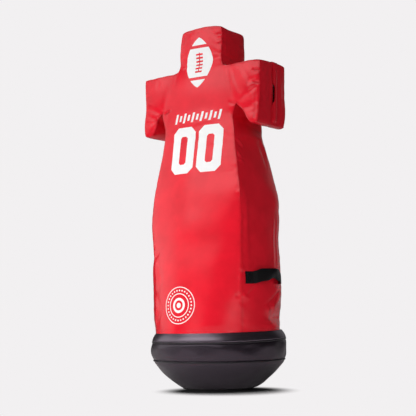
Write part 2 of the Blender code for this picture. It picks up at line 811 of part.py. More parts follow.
def build_gussets(side_pivot):
    """The strips round the arms and the head."""
    arm = arm_outline()
    arm[0] = arm[0] + (arm[1] - arm[0]).normalized() * SEAM_STEP
    arm[-1] = arm[-1] + Vector((SEAM_STEP, 0.0))
    inside = Vector((mix(ARMPIT_X, ARM_TOP_X, 0.5), 0.0, mix(ARMPIT_Z, SHOULDER_Z, 0.5)))
    front_rows = ribbon_rows(arm, high_y=ZIP_Y - ZIP_GAP / 2)
    hang(sheet("right_arm_front_gusset", front_rows, inside, red_vinyl), side_pivot)
    back_rows = ribbon_rows(arm, low_y=ZIP_Y + ZIP_GAP / 2)
    hang(sheet("right_arm_back_gusset", back_rows, inside, red_vinyl), side_pivot)
    whole = sheet("whole_arm_gusset", ribbon_rows(arm), inside, red_vinyl)
    left = twin(whole, "left_arm_gusset", (1, 0, 0))
    bpy.data.objects.remove(whole)
    hang(left, side_pivot)

    right_half = head_outline()
    right_half[0] = right_half[0] + Vector((0.0, SEAM_STEP))
    left_half = [Vector((-p.x, p.y)) for p in reversed(right_half[:-1])]
    inside = Vector((0.0, 0.0, mix(SHOULDER_Z, HEIGHT, 0.5)))
    head_rows = ribbon_rows(right_half + left_half)
    hang(sheet("head_gusset", head_rows, inside, red_vinyl), side_pivot)


# The zip in the right arm


def arm_end_frame():
    """The foot of the arm end's straight run, the way up it and out of it, and the path from it."""
    arm = arm_outline()
    after_low_corners = 1 + 2 * (CORNER_STEPS + 1)
    foot, top = arm[after_low_corners - 1], arm[after_low_corners]
    up = (top - foot).normalized()
    out = Vector((up.y, -up.x))
    return foot, up, out, [foot, *arm[after_low_corners:]]


def sweep(name, path, profile, make_material):
    """A solid with one profile of (y, offset out of the path) points all along a path."""
    rings = []
    for point, normal in zip(path, path_normals(path)):
        ring = []
        for y, offset in profile:
            place = point + normal * offset
            ring.append(Vector((place.x, y, place.y)))
        rings.append(ring)
    return loft(name, rings, make_material)


def build_zip(side_pivot):
    """The zip's tape and flap, and the slider and pull that move on it."""
    path = arm_outline()
    path[0] = path[0] + (path[1] - path[0]).normalized() * ZIP_TAPE_END_INSET
    path[-1] = path[-1] + Vector((SEAM_STEP + COVER, 0.0))
    under = -COVER - GAP
    teeth = under + ZIP_TEETH_HEIGHT
    half_tape, half_teeth = ZIP_TAPE_WIDTH / 2, ZIP_TEETH_WIDTH / 2
    tape = [
        (ZIP_Y - half_tape, under - ZIP_TAPE_THICKNESS),
        (ZIP_Y + half_tape, under - ZIP_TAPE_THICKNESS),
        (ZIP_Y + half_tape, under),
        (ZIP_Y + half_teeth, under),
        (ZIP_Y + half_teeth, teeth),
        (ZIP_Y - half_teeth, teeth),
        (ZIP_Y - half_teeth, under),
        (ZIP_Y - half_tape, under),
    ]
    hang(sweep("zip_tape", path, tape, webbing), side_pivot)

    flap = [
        (FLAP_SEWN_Y, GAP),
        (FLAP_SEWN_Y, GAP + FLAP_THICKNESS),
        (FLAP_FOLD_Y + 3 * FLAP_THICKNESS, 3 * FLAP_THICKNESS),
        (FLAP_FOLD_Y, FLAP_STANDOFF),
        (FLAP_FREE_Y, FLAP_STANDOFF + FLAP_THICKNESS),
        (FLAP_FREE_Y, FLAP_STANDOFF),
        (FLAP_FOLD_Y, FLAP_STANDOFF - FLAP_THICKNESS),
        (FLAP_FOLD_Y + 3 * FLAP_THICKNESS, 2 * FLAP_THICKNESS),
        (FLAP_FOLD_Y + 5 * FLAP_THICKNESS, GAP),
    ]
    foot, up, out, flap_path = arm_end_frame()
    hang(sweep("zip_flap", flap_path[:-1], flap, red_vinyl), side_pivot)

    middle = foot + up * SLIDER_FROM_ARM_END + out * (GAP + SLIDER_THICKNESS / 2)
    turn = Matrix.Rotation(math.atan2(up.x, up.y), 4, "Y")
    place = Matrix.Translation((middle.x, ZIP_Y, middle.y)) @ turn
    size = (SLIDER_THICKNESS, SLIDER_WIDTH, SLIDER_LENGTH)
    slider = box("zip_slider", size, steel, METAL_ROUNDING * SLIDER_THICKNESS)
    slider.data.transform(place)
    slide_pivot = pivot("zip_slide", (middle.x, ZIP_Y, middle.y), side_pivot)
    hang(slider, slide_pivot)

    pin = middle + out * (SLIDER_THICKNESS / 2 + PULL_PIN_RADIUS + GAP) - up * SLIDER_LENGTH / 4
    size = (PULL_THICKNESS, PULL_WIDTH, PULL_LENGTH)
    pull = box("zip_pull", size, steel, METAL_ROUNDING * PULL_THICKNESS)
    hanging_z = pin.y - (PULL_LENGTH / 2 - 2 * PULL_PIN_RADIUS)
    pull.data.transform(Matrix.Translation((pin.x, ZIP_Y, hanging_z)))
    pull_pivot = pivot("zip_pull_swing", (pin.x, ZIP_Y, pin.y), slide_pivot)
    hang(pull, pull_pivot)


def box(name, size, make_material, bevel):
    """A box round the origin with softened edges."""
    bm = bmesh.new()
    bmesh.ops.create_cube(bm, size=1.0)
    bmesh.ops.scale(bm, vec=size, verts=bm.verts)
    bmesh.ops.bevel(bm, geom=bm.edges[:], offset=bevel, segments=1, affect="EDGES")
    return finish(bm, name, make_material)


# The handles


HANDLE_EDGES_Z = (HANDLE_Z - WEBBING_WIDTH / 2, HANDLE_Z + WEBBING_WIDTH / 2)


def cover_under_handle(y):
    """How far out the side face carries a flat strip at y: at the strip's lower and upper edge."""
    low, top = (side_reach(y, z) for z in HANDLE_EDGES_Z)
    bulges = [side_reach(y, mix(*HANDLE_EDGES_Z, t)) - mix(low, top, t) for t in (0.25, 0.5, 0.75)]
    lift = max(0.0, *bulges)
    return low + lift, top + lift


def strap_end_y():
    """Where the sewn end stops and the loop's free run begins."""
    return HANDLE_HALF_LENGTH - TAB_SEWN_LENGTH - TAB_RAMP_LENGTH


def strap_reach(y):
    """The loop's inner face at y, bowed off the cover: at its lower and upper edge."""
    end = strap_end_y()
    reaches = []
    for end_x, middle_x in zip(cover_under_handle(end), cover_under_handle(0.0)):
        middle_x += STRAP_MIDDLE_STANDOFF
        reaches.append(mix(middle_x, end_x + STRAP_END_STANDOFF, (y / end) ** 2))
    return reaches


def tab_reach(y):
    """The sewn end's inner face at y: flat on the cover, then rising to meet the loop."""
    sewn = HANDLE_HALF_LENGTH - TAB_SEWN_LENGTH
    rise = STRAP_END_STANDOFF * ease((sewn - y) / (sewn - strap_end_y()))
    return [x + GAP + rise for x in cover_under_handle(y)]


def webbing_run(name, ys, reach):
    """A run of webbing standing on its edge, through the given ys, with ends square to the run."""
    rings = []
    for side, z in enumerate(HANDLE_EDGES_Z):
        inner = [Vector((reach(y)[side], y)) for y in ys]
        outer = [p + n * WEBBING_THICKNESS for p, n in zip(inner, path_normals(inner))]
        outer[0].y, outer[-1].y = inner[0].y, inner[-1].y
        rings.append([Vector((p.x, p.y, z)) for p in inner + outer[::-1]])
    return loft(name, rings, webbing)


def build_handles(side_pivot):
    """The two side handles: each a webbing loop between two sewn ends."""
    end = strap_end_y()
    sewn = HANDLE_HALF_LENGTH - TAB_SEWN_LENGTH
    tab_ys = even_steps(end + GAP, sewn, TAB_RAMP_LENGTH / 4)
    tab_ys += even_steps(sewn, HANDLE_HALF_LENGTH, TAB_SEWN_LENGTH / 3)[1:]
    back_tab = webbing_run("right_handle_back_tab", tab_ys, tab_reach)
    front_tab = twin(back_tab, "right_handle_front_tab", (0, 1, 0))
    left_back_tab = twin(back_tab, "left_handle_back_tab", (1, 0, 0))
    left_front_tab = twin(front_tab, "left_handle_front_tab", (1, 0, 0))
    for made in (back_tab, front_tab, left_back_tab, left_front_tab):
        hang(made, side_pivot)
    strap_ys = even_steps(-end, end, 2 * end / STRAP_STEPS)
    right = webbing_run("right_handle_strap", strap_ys, strap_reach)
    left = twin(right, "left_handle_strap", (1, 0, 0))
    axis_x = mix(*cover_under_handle(end), 0.5)
    right_pivot = pivot("right_handle_swing", (axis_x, 0.0, HANDLE_Z), side_pivot)
    left_pivot = pivot("left_handle_swing", (-axis_x, 0.0, HANDLE_Z), side_pivot)
    hang(right, right_pivot)
    hang(left, left_pivot)


def build():
    """Build the whole dummy."""
    build_base_covers()
    build_base_filling()
    build_ballast_bolt()
    front_pivot = pivot("lean_front", (0.0, 0.0, FLEX_Z))
    side_pivot = pivot("lean_side", (0.0, 0.0, FLEX_Z), front_pivot)
    build_column(front_pivot, side_pivot)
    build_foam(side_pivot)
    build_front_and_back(side_pivot)
    build_side_panels(side_pivot)
    build_gussets(side_pivot)
    build_zip(side_pivot)
    build_handles(side_pivot)


for old in list(bpy.data.objects):
    bpy.data.objects.remove(old)
PARTS = new_collection("tackle_dummy")
CUTTERS = new_collection("cutters")
PLACES = {}
build()
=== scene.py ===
"""Looks of the pop-up tackle dummy: its cover, base bag, prints, handles, zip and studio."""

import logging
import math
from collections.abc import Callable, Iterable, Sequence
from dataclasses import dataclass, field
from enum import Enum

import bmesh
import bpy
import numpy as np
from mathutils import Matrix, Vector
from mathutils.bvhtree import BVHTree
from mathutils.kdtree import KDTree


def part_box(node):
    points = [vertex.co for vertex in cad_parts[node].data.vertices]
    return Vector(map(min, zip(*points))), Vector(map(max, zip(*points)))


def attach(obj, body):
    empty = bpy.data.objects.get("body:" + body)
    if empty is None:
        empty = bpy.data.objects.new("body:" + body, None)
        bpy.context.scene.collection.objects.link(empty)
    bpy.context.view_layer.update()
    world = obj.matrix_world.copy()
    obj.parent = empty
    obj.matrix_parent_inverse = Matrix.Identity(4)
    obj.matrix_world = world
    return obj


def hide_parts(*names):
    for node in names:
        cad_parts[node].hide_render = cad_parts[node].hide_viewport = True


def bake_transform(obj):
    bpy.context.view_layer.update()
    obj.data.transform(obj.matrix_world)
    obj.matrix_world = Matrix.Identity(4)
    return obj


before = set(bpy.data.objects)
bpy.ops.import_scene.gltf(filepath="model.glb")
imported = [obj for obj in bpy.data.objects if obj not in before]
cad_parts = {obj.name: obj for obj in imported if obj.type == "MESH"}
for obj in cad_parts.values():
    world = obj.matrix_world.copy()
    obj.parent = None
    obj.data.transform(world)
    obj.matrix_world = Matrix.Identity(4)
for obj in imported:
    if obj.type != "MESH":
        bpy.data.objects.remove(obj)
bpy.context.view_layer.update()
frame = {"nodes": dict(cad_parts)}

LOG = logging.getLogger("tackle_dummy")
Array = np.ndarray
Object = bpy.types.Object
Mesh = bpy.types.Mesh
Node = bpy.types.Node
Socket = bpy.types.NodeSocket
Colour = tuple[float, float, float]
Faces = list[tuple[int, ...]]
Pair = tuple[float, float]
Triple = tuple[float, float, float]
Span = tuple[float, float, float, float]

MILLIMETRES = 1000
"""Millimetres in a metre."""
THREAD_LIFT = 0.0001
"""How far a stitch's middle stands off its cloth."""
WELD = 1e-5
"""Points closer than this are one point."""


# Plain geometry


def mix(a: float, b: float, t: float) -> float:
    """The value a share t of the way from a to b."""
    return a + (b - a) * t


def ease(t: float) -> float:
    """A smooth step from 0 to 1."""
    t = min(1.0, max(0.0, t))
    return t * t * (3 - 2 * t)


def metres(place: Triple, side: int = 1) -> Triple:
    """A place in metres from one in millimetres, mirrored where the side is -1."""
    x, y, z = (number / MILLIMETRES for number in place)
    return side * x, y, z


def shares(count: int) -> list[float]:
    """Even steps from 0 to 1, both included."""
    return [i / count for i in range(count + 1)]


def circle(radius: float, steps: int) -> list[Pair]:
    """A round loop of points."""
    angles = np.linspace(0, 2 * math.pi, steps, endpoint=False)
    return [(radius * math.cos(a), radius * math.sin(a)) for a in angles]


def bell(away: Array, width: float) -> Array:
    """A share that is 1 at no distance and fades past a width."""
    return np.exp(-((away / width) ** 2))


def grid_faces(rows: int, columns: int) -> Faces:
    """The quads of a grid whose points are listed row by row."""
    wide = columns + 1
    starts = [i * wide + j for i in range(rows) for j in range(columns)]
    return [(a, a + wide, a + wide + 1, a + 1) for a in starts]


def arc_rise(offset: float, half_chord: float, rise: float) -> float:
    """Height above its chord of a circular arc.

    Args:
        offset: distance along the chord from its middle.
        half_chord: half of the chord's length.
        rise: the arc's height at the chord's middle.

    Returns:
        The arc's height above the chord at the offset.
    """
    if rise < 1e-6:
        return 0.0
    radius = (half_chord**2 + rise**2) / (2 * rise)
    offset = min(abs(offset), half_chord)
    return math.sqrt(radius**2 - offset**2) - (radius - rise)


def smooth_through(knots: Sequence[float], values: Sequence[float], at: float) -> float:
    """Read a smooth curve through pairs of knots and values.

    Args:
        knots: rising places.
        values: the curve's value at each knot.
        at: the place to read.

    Returns:
        The curve's value there.
    """
    at = min(max(at, knots[0]), knots[-1])
    last = len(knots) - 1
    i = next(k for k in range(last) if at <= knots[k + 1])

    def slope(k: int) -> float:
        """The curve's slope at one knot."""
        before, after = max(k - 1, 0), min(k + 1, last)
        return (values[after] - values[before]) / (knots[after] - knots[before])

    span = knots[i + 1] - knots[i]
    t = (at - knots[i]) / span
    start = (2 * t**3 - 3 * t**2 + 1) * values[i] + (t**3 - 2 * t**2 + t) * span * slope(i)
    end = (3 * t**2 - 2 * t**3) * values[i + 1] + (t**3 - t**2) * span * slope(i + 1)
    return start + end


def waves(points: Array, lengths: Sequence[float], seed: int) -> Array:
    """Smooth unevenness from a few crossed waves.

    Args:
        points: places, one row each.
        lengths: the waves' lengths in metres.
        seed: fixes the waves' directions and phases.

    Returns:
        A value for each point, mostly between -1 and 1.
    """
    rng = np.random.default_rng(seed)
    total = np.zeros(len(points))
    for length in lengths:
        for _ in range(5):
            way = rng.normal(size=3)
            way /= np.linalg.norm(way)
            stretch = rng.uniform(0.8, 1.25)
            phase = rng.uniform(0, 2 * math.pi)
            total += np.sin(points @ way * (2 * math.pi / (length * stretch)) + phase)
    return total / (2.2 * math.sqrt(len(lengths)))


# Materials


class Wiring:
    """A node tree, with short calls that fill it."""

    prefix = ""

    def __init__(self, tree: bpy.types.NodeTree) -> None:
        """Take the tree."""
        self.tree = tree

    def add(self, kind: str, fed: dict[str | int, object] | None = None, **settings: object) -> Node:
        """A new node.

        Args:
            kind: the node's class name, without the prefix.
            fed: a socket to link or a value, for each input by name or place.
            settings: the node's own properties.

        Returns:
            The node.
        """
        node = self.tree.nodes.new(self.prefix + kind)
        for name, value in settings.items():
            setattr(node, name, value)
        for name, value in (fed or {}).items():
            self.feed(node.inputs[name], value)
        return node

    def feed(self, socket: Socket, value: object) -> None:
        """Link a socket to another one, or set its value."""
        if isinstance(value, bpy.types.NodeSocket):
            self.tree.links.new(value, socket)
        else:
            socket.default_value = value


class Nodes(Wiring):
    """A material's node tree, with a call for each kind of node that the finishes use."""

    prefix = "ShaderNode"

    def __init__(self, name: str) -> None:
        """Start a material with only its shader and output."""
        self.material = bpy.data.materials.new(name)
        self.material.use_nodes = True
        super().__init__(self.material.node_tree)
        self.shader = self.tree.nodes["Principled BSDF"]

    def place(self, uv: str = "", scale: Sequence[float] = (1.0, 1.0, 1.0)) -> Socket:
        """Coordinates in metres: the object's own, or a named UV map's.

        Args:
            uv: the UV map's name, or nothing for Object coordinates.
            scale: stretches the pattern that reads them.

        Returns:
            The vector socket.
        """
        if uv:
            source = self.add("UVMap", uv_map=uv).outputs["UV"]
        else:
            source = self.add("TexCoord").outputs["Object"]
        return self.add("Mapping", {"Vector": source, "Scale": scale}).outputs["Vector"]

    def noise(self, place: Socket, scale: float, detail: float = 3.0, rough: float = 0.5) -> Socket:
        """A noise pattern's value at a place."""
        fed = {"Vector": place, "Scale": scale, "Detail": detail, "Roughness": rough}
        return self.add("TexNoise", fed).outputs["Fac"]

    def cells(self, place: Socket, scale: float) -> Socket:
        """A cell pattern's distance at a place."""
        return self.add("TexVoronoi", {"Vector": place, "Scale": scale}).outputs["Distance"]

    def ribs(self, place: Socket, scale: float, direction: str, distort: float = 0.0) -> Socket:
        """A row of even ribs along one direction."""
        fed = {"Vector": place, "Scale": scale, "Distortion": distort}
        return self.add("TexWave", fed, bands_direction=direction).outputs["Fac"]

    def span(self, value: Socket, low: float, high: float, to_low: float, to_high: float) -> Socket:
        """A value moved from one range to another, and held inside it."""
        fed = {"Value": value, "From Min": low, "From Max": high, "To Min": to_low, "To Max": to_high}
        return self.add("MapRange", fed).outputs["Result"]

    def sum(self, a: Socket, b: Socket | float, operation: str = "ADD") -> Socket:
        """Two values put together by a plain operation."""
        return self.add("Math", {0: a, 1: b}, operation=operation).outputs[0]

    def blend(self, share: Socket | float, a: Socket | Colour, b: Socket | Colour) -> Socket:
        """Two colours mixed by a share."""
        node = self.add("Mix", data_type="RGBA")
        colours = [s for s in node.inputs if s.type == "RGBA"]
        self.feed(node.inputs[0], share)
        for socket, colour in zip(colours, (a, b)):
            self.feed(socket, colour if isinstance(colour, bpy.types.NodeSocket) else (*colour, 1.0))
        return next(s for s in node.outputs if s.type == "RGBA")

    def attribute(self, name: str) -> Socket:
        """A named attribute's value on the mesh."""
        return self.add("Attribute", attribute_name=name).outputs["Fac"]

    def bump(self, height: Socket, distance: float, strength: float, base: Socket | None = None) -> Socket:
        """A normal from a height pattern, laid over another one if there is one."""
        fed = {"Height": height, "Distance": distance, "Strength": strength}
        if base is not None:
            fed["Normal"] = base
        return self.add("Bump", fed).outputs["Normal"]

    def finish(self, **inputs: Socket | float | Sequence[float]) -> bpy.types.Material:
        """Set the shader's inputs by name, with underscores for spaces, and return the material."""
        for name, value in inputs.items():
            self.feed(self.shader.inputs[name.replace("_", " ")], value)
        return self.material


@dataclass(frozen=True)
class CoatedFabric:
    """Vinyl-coated cloth: smooth and glossy, with a faint grain and the cloth's weave showing through.

    A noise is given by its scale, detail and roughness, a bump by its distance and strength, and a
    span by a low and a high value and what they become.
    """

    name: str
    colour: Colour
    deep: Colour
    roughness: float
    grain: float
    gloss: float = 0.5
    refraction: float = 1.5
    tint: Colour = (1.0, 1.0, 1.0)
    lint: float = 0.0
    uv: str = "cloth"
    clouds: Triple = (9.0, 4.0, 0.55)
    cloud_tone: Span = (0.35, 0.65, 0.0, 0.35)
    # How far the seam wear and the painted shade in deep creases pull the colour towards the deep one.
    seam_wear_and_crease_shade_tone: Span = (0.0, 1.0, 0.0, 0.45)
    scuffs: Triple = (60.0, 6.0, 0.7)
    scuff_stretch: Triple = (1.0, 0.35, 1.0)
    scuff_rough: Span = (0.60, 0.75, 0.0, 0.10)
    speck_scale: float = 13.0
    speck_sizes: Pair = (0.010, 0.020)
    speck_colour: Colour = (0.30, 0.28, 0.29)
    rough_clouds: Pair = (0.3, 0.7)
    rough_range: Pair = (-0.03, 0.04)
    weave: Pair = (260.0, 0.3)
    skin_scale: float = 900.0
    swells: Triple = (14.0, 3.0, 0.5)
    swell_bump: Pair = (0.003, 0.10)
    weave_bump: Pair = (0.0003, 0.10)
    skin_bump: Pair = (0.0003, 0.16)

    def material(self) -> bpy.types.Material:
        """Build the material."""
        n = Nodes(self.name)
        place = n.place(self.uv)
        clouds = n.noise(place, *self.clouds)
        scuffs = n.noise(n.place(self.uv, self.scuff_stretch), *self.scuffs)
        # Darker towards the deep colour at the seams, and in the cover's deepest creases, where the darkening
        # is painted shade.
        seam = n.attribute("seam_wear_and_crease_shade")
        tone = n.sum(n.span(clouds, *self.cloud_tone), n.span(seam, *self.seam_wear_and_crease_shade_tone))
        colour = n.blend(tone, self.colour, self.deep)
        specks = n.span(n.cells(place, self.speck_scale), *self.speck_sizes, self.lint, 0.0)
        colour = n.blend(specks, colour, self.speck_colour)
        rough = n.span(clouds, *self.rough_clouds, *(self.roughness + change for change in self.rough_range))
        rough = n.sum(rough, n.span(scuffs, *self.scuff_rough))
        scale, distortion = self.weave
        warp, weft = (n.ribs(place, scale, way, distortion) for way in "XY")
        weave = n.sum(warp, weft, "MULTIPLY")
        skin = n.cells(place, self.skin_scale)
        soft = n.bump(n.noise(place, *self.swells), *self.swell_bump)
        woven = n.bump(weave, self.weave_bump[0], self.weave_bump[1] * self.grain, soft)
        normal = n.bump(skin, self.skin_bump[0], self.skin_bump[1] * self.grain, woven)
        given = {"Specular_IOR_Level": self.gloss, "IOR": self.refraction, "Specular_Tint": (*self.tint, 1.0)}
        return n.finish(Base_Color=colour, Roughness=rough, Normal=normal, **given)


@dataclass(frozen=True)
class Webbing:
    """Woven strap: ribs across it with a herringbone lean and a slight shine.

    Ribs are given by their scale, their distortion and their share in the weave.
    """

    name: str
    colour: Colour
    light: Colour
    uv: str = "cloth"
    across: Triple = (210.0, 0.6, 0.65)
    along: Triple = (120.0, 0.4, 0.35)
    weave_tone: Span = (0.35, 0.9, 0.0, 1.0)
    patch_scale: float = 20.0
    patch_tone: Span = (0.4, 0.7, 0.0, 0.4)
    fuzz: Triple = (1500.0, 2.0, 0.6)
    fuzz_bump: Pair = (0.0002, 0.3)
    weave_bump: Pair = (0.0006, 0.7)
    weave_rough: Span = (0.2, 0.9, 0.58, 0.38)
    gloss: float = 0.35

    def material(self) -> bpy.types.Material:
        """Build the material."""
        n = Nodes(self.name)
        place = n.place(self.uv)
        ribs = []
        for way, (scale, distortion, share) in zip("XY", (self.across, self.along)):
            ribs.append(n.sum(n.ribs(place, scale, way, distortion), share, "MULTIPLY"))
        weave = n.sum(*ribs)
        colour = n.blend(n.span(weave, *self.weave_tone), self.colour, self.light)
        patches = n.noise(place, self.patch_scale)
        colour = n.blend(n.span(patches, *self.patch_tone), colour, self.colour)
        normal = n.bump(n.noise(place, *self.fuzz), *self.fuzz_bump, n.bump(weave, *self.weave_bump))
        rough = n.span(weave, *self.weave_rough)
        return n.finish(Base_Color=colour, Roughness=rough, Normal=normal, Specular_IOR_Level=self.gloss)


@dataclass(frozen=True)
class Pattern:
    """A pattern in the object's own coordinates, with the range of it that counts.

    Attributes:
        kind: "noise", "cells" or "ribs".
        scale: how fine it is.
        span: its low and high value, and what they become.
        detail: how many finer noises lie on a noise, and how strong they are.
        way: the direction of ribs.
        stretch: how much finer it is along each axis.
    """

    kind: str
    scale: float
    span: Span = (0.0, 1.0, 0.0, 1.0)
    detail: Pair = (3.0, 0.5)
    way: str = "Z"
    stretch: Triple = (1.0, 1.0, 1.0)

    def value(self, n: Nodes) -> Socket:
        """The pattern's plain value."""
        place = n.place(scale=self.stretch)
        if self.kind == "cells":
            return n.cells(place, self.scale)
        if self.kind == "ribs":
            return n.ribs(place, self.scale, self.way)
        return n.noise(place, self.scale, *self.detail)

    def share(self, n: Nodes) -> Socket:
        """The pattern's value in its range."""
        return n.span(self.value(n), *self.span)


@dataclass(frozen=True)
class Stuff:
    """A plain stuff: two colours mixed by patterns, a fine relief and an uneven shine.

    Attributes:
        tones: patterns whose sum turns the first colour into the second.
        relief: the pattern of its surface, how high it is and how strong it looks.
        rough: the pattern of its roughness.
    """

    name: str
    colour: Colour
    second: Colour
    tones: tuple[Pattern, ...]
    relief: tuple[Pattern, float, float]
    rough: Pattern
    metallic: float = 0.0

    def material(self) -> bpy.types.Material:
        """Build the material."""
        n = Nodes(self.name)
        tone = self.tones[0].share(n)
        for other in self.tones[1:]:
            tone = n.sum(tone, other.share(n))
        pattern, distance, strength = self.relief
        return n.finish(
            Base_Color=n.blend(tone, self.colour, self.second),
            Roughness=self.rough.share(n),
            Normal=n.bump(pattern.value(n), distance, strength),
            Metallic=self.metallic,
        )


def metal(name: str, colours: Sequence[Colour], roughness: float, metallic: float, grain: float) -> Stuff:
    """A metal with a fine surface and worn, brighter patches."""
    fine = (5.0, 0.6)
    stains = Pattern("noise", 35.0, (0.45, 0.7, 0.0, 1.0), fine)
    rough = Pattern("noise", 35.0, (0.3, 0.7, roughness - 0.06, roughness + 0.12), fine)
    relief = (Pattern("noise", grain, detail=(3.0, 0.6)), 0.0008, 0.25)
    return Stuff(name, *colours, (stains,), relief, rough, metallic)


def thread(name: str, colour: Colour, light: Colour) -> Stuff:
    """Twisted sewing thread."""
    twist = Pattern("ribs", 900.0, way="DIAGONAL")
    even = Pattern("ribs", 900.0, (0.0, 1.0, 0.5, 0.5))
    return Stuff(name, colour, light, (twist,), (twist, 0.0002, 0.5), even)


# Its deep colour also serves the painted shade in the cover's deepest creases.
RED = CoatedFabric("red_vinyl", (0.80, 0.011, 0.027), (0.50, 0.005, 0.013), 0.17, 1.0)
VIOLET = (1.0, 0.82, 1.0)
BLACK = CoatedFabric(
    "black_vinyl", (0.009, 0.006, 0.009), (0.006, 0.004, 0.006), 0.34, 2.0, 1.0, tint=VIOLET, lint=0.6
)
COLLAR_BLACK = CoatedFabric(
    "black_vinyl_gloss", (0.006, 0.004, 0.0066), (0.004, 0.003, 0.0044), 0.32, 0.6, 1.0, 2.0, VIOLET
)
PIPING = CoatedFabric("black_piping", (0.016, 0.013, 0.017), (0.010, 0.009, 0.011), 0.38, 1.2)
STRAP = Webbing("webbing", (0.0015, 0.0012, 0.0016), (0.006, 0.005, 0.007))
TAPE = Webbing("zip_tape", (0.010, 0.010, 0.012), (0.022, 0.022, 0.026))
FOAM = Stuff(
    "foam",
    (0.74, 0.70, 0.58),
    (0.60, 0.53, 0.36),
    (
        Pattern("cells", 420.0, (0.0, 0.7, 0.6, 0.0)),
        Pattern("noise", 12.0, (0.35, 0.7, 0.0, 0.5), (4.0, 0.5)),
    ),
    (Pattern("cells", 420.0), 0.001, 0.8),
    Pattern("noise", 12.0, (0.3, 0.7, 0.9, 1.0), (4.0, 0.5)),
)
GRAIN = {"detail": (6.0, 0.6), "stretch": (3.0, 55.0, 55.0)}
PLYWOOD = Stuff(
    "plywood",
    (0.60, 0.43, 0.26),
    (0.36, 0.22, 0.11),
    (Pattern("noise", 4.0, (0.35, 0.7, 0.0, 0.7), **GRAIN), Pattern("ribs", 105.0, (0.4, 0.6, 0.0, 0.25))),
    (Pattern("noise", 4.0, **GRAIN), 0.0006, 0.3),
    Pattern("noise", 4.0, (0.3, 0.7, 0.55, 0.75), **GRAIN),
)
RUBBER = Stuff(
    "base_rubber",
    (0.012, 0.012, 0.012),
    (0.045, 0.043, 0.04),
    (Pattern("noise", 28.0, (0.5, 0.7, 0.0, 1.0), (6.0, 0.65)),),
    (Pattern("cells", 350.0), 0.0006, 0.5),
    Pattern("noise", 28.0, (0.3, 0.7, 0.6, 0.85), (6.0, 0.65)),
)
INK = Stuff(
    "print_ink",
    (0.86, 0.86, 0.86),
    (0.74, 0.66, 0.66),
    (Pattern("noise", 130.0, (0.62, 0.74, 0.0, 0.6), (5.0, 0.7)),),
    (Pattern("cells", 900.0), 0.0003, 0.12),
    Pattern("noise", 20.0, (0.3, 0.7, 0.34, 0.46)),
)
IRON = metal("ballast_iron", ((0.055, 0.055, 0.06), (0.13, 0.11, 0.095)), 0.55, 0.7, 700.0)
ZINC = metal("zinc_steel", ((0.56, 0.56, 0.58), (0.68, 0.67, 0.64)), 0.30, 1.0, 1600.0)
ZIP_METAL = metal("zip_metal", ((0.36, 0.36, 0.37), (0.50, 0.49, 0.47)), 0.28, 1.0, 2200.0)
RED_THREAD = thread("red_thread", (0.55, 0.015, 0.03), (0.80, 0.06, 0.08))
BLACK_THREAD = thread("black_thread", (0.015, 0.014, 0.016), (0.06, 0.055, 0.062))
Finish = CoatedFabric | Webbing | Stuff


class Dye:
    """The made materials, each built once."""

    _made: dict[str, bpy.types.Material] = {}

    @classmethod
    def of(cls, finish: Finish) -> bpy.types.Material:
        """The material of a finish."""
        if finish.name not in cls._made:
            cls._made[finish.name] = finish.material()
        return cls._made[finish.name]


# Meshes


def new_object(name: str, data: bpy.types.ID) -> Object:
    """An object at the origin that holds a mesh, a light or a camera, in the scene."""
    made = bpy.data.objects.new(name, data)
    bpy.context.scene.collection.objects.link(made)
    return made


def mesh_from(name: str, points: Array, faces: Iterable[Sequence[int]]) -> Mesh:
    """A mesh from points and faces."""
    mesh = bpy.data.meshes.new(name)
    mesh.from_pydata([tuple(p) for p in points], [], [tuple(map(int, f)) for f in faces])
    mesh.update()
    return mesh


def read_rows(items: bpy.types.bpy_prop_collection, name: str, width: int) -> Array:
    """One property of every item, a row of numbers for each."""
    flat = np.empty(len(items) * width, np.float32)
    items.foreach_get(name, flat)
    return flat.reshape(-1, width)


def coordinates(mesh: Mesh) -> Array:
    """A mesh's vertex coordinates."""
    return read_rows(mesh.vertices, "co", 3).astype(float)


def put_points(mesh: Mesh, points: Array) -> None:
    """Move a mesh's vertices to the given places."""
    mesh.vertices.foreach_set("co", points.astype(np.float32).ravel())
    mesh.update()


def vertex_normals(mesh: Mesh) -> Array:
    """A mesh's smooth vertex normals."""
    return read_rows(mesh.vertex_normals, "vector", 3).astype(float)


def corner_uv(mesh: Mesh) -> Array:
    """The cloth UV map, one pair for each face corner."""
    return read_rows(mesh.uv_layers["cloth"].data, "uv", 2)


def face_list(mesh: Mesh) -> Faces:
    """A mesh's faces as vertex indices."""
    return [tuple(p.vertices) for p in mesh.polygons]


def mesh_of(bm: bmesh.types.BMesh, name: str) -> Mesh:
    """A mesh with what an editing mesh holds; the editing mesh is freed."""
    mesh = bpy.data.meshes.new(name)
    bm.to_mesh(mesh)
    bm.free()
    return mesh


def evaluated_mesh(made: Object, name: str) -> Mesh:
    """The plain mesh that an object's modifiers give; the object is removed."""
    bpy.context.view_layer.update()
    graph = bpy.context.evaluated_depsgraph_get()
    mesh = bpy.data.meshes.new_from_object(made.evaluated_get(graph))
    mesh.name = name
    bpy.data.objects.remove(made)
    return mesh


def search_tree(points: Array) -> KDTree:
    """A search tree over points."""
    tree = KDTree(len(points))
    for i, p in enumerate(points):
        tree.insert(p, i)
    tree.balance()
    return tree


def shade(made: Object, material: bpy.types.Material, angle: float | None = None) -> Object:
    """Give an object one material and smooth shading, sharp past an angle if there is one."""
    made.data.materials.clear()
    made.data.materials.append(material)
    made.data.shade_smooth()
    if angle is not None:
        made.data.set_sharp_from_angle(angle=angle)
    return made


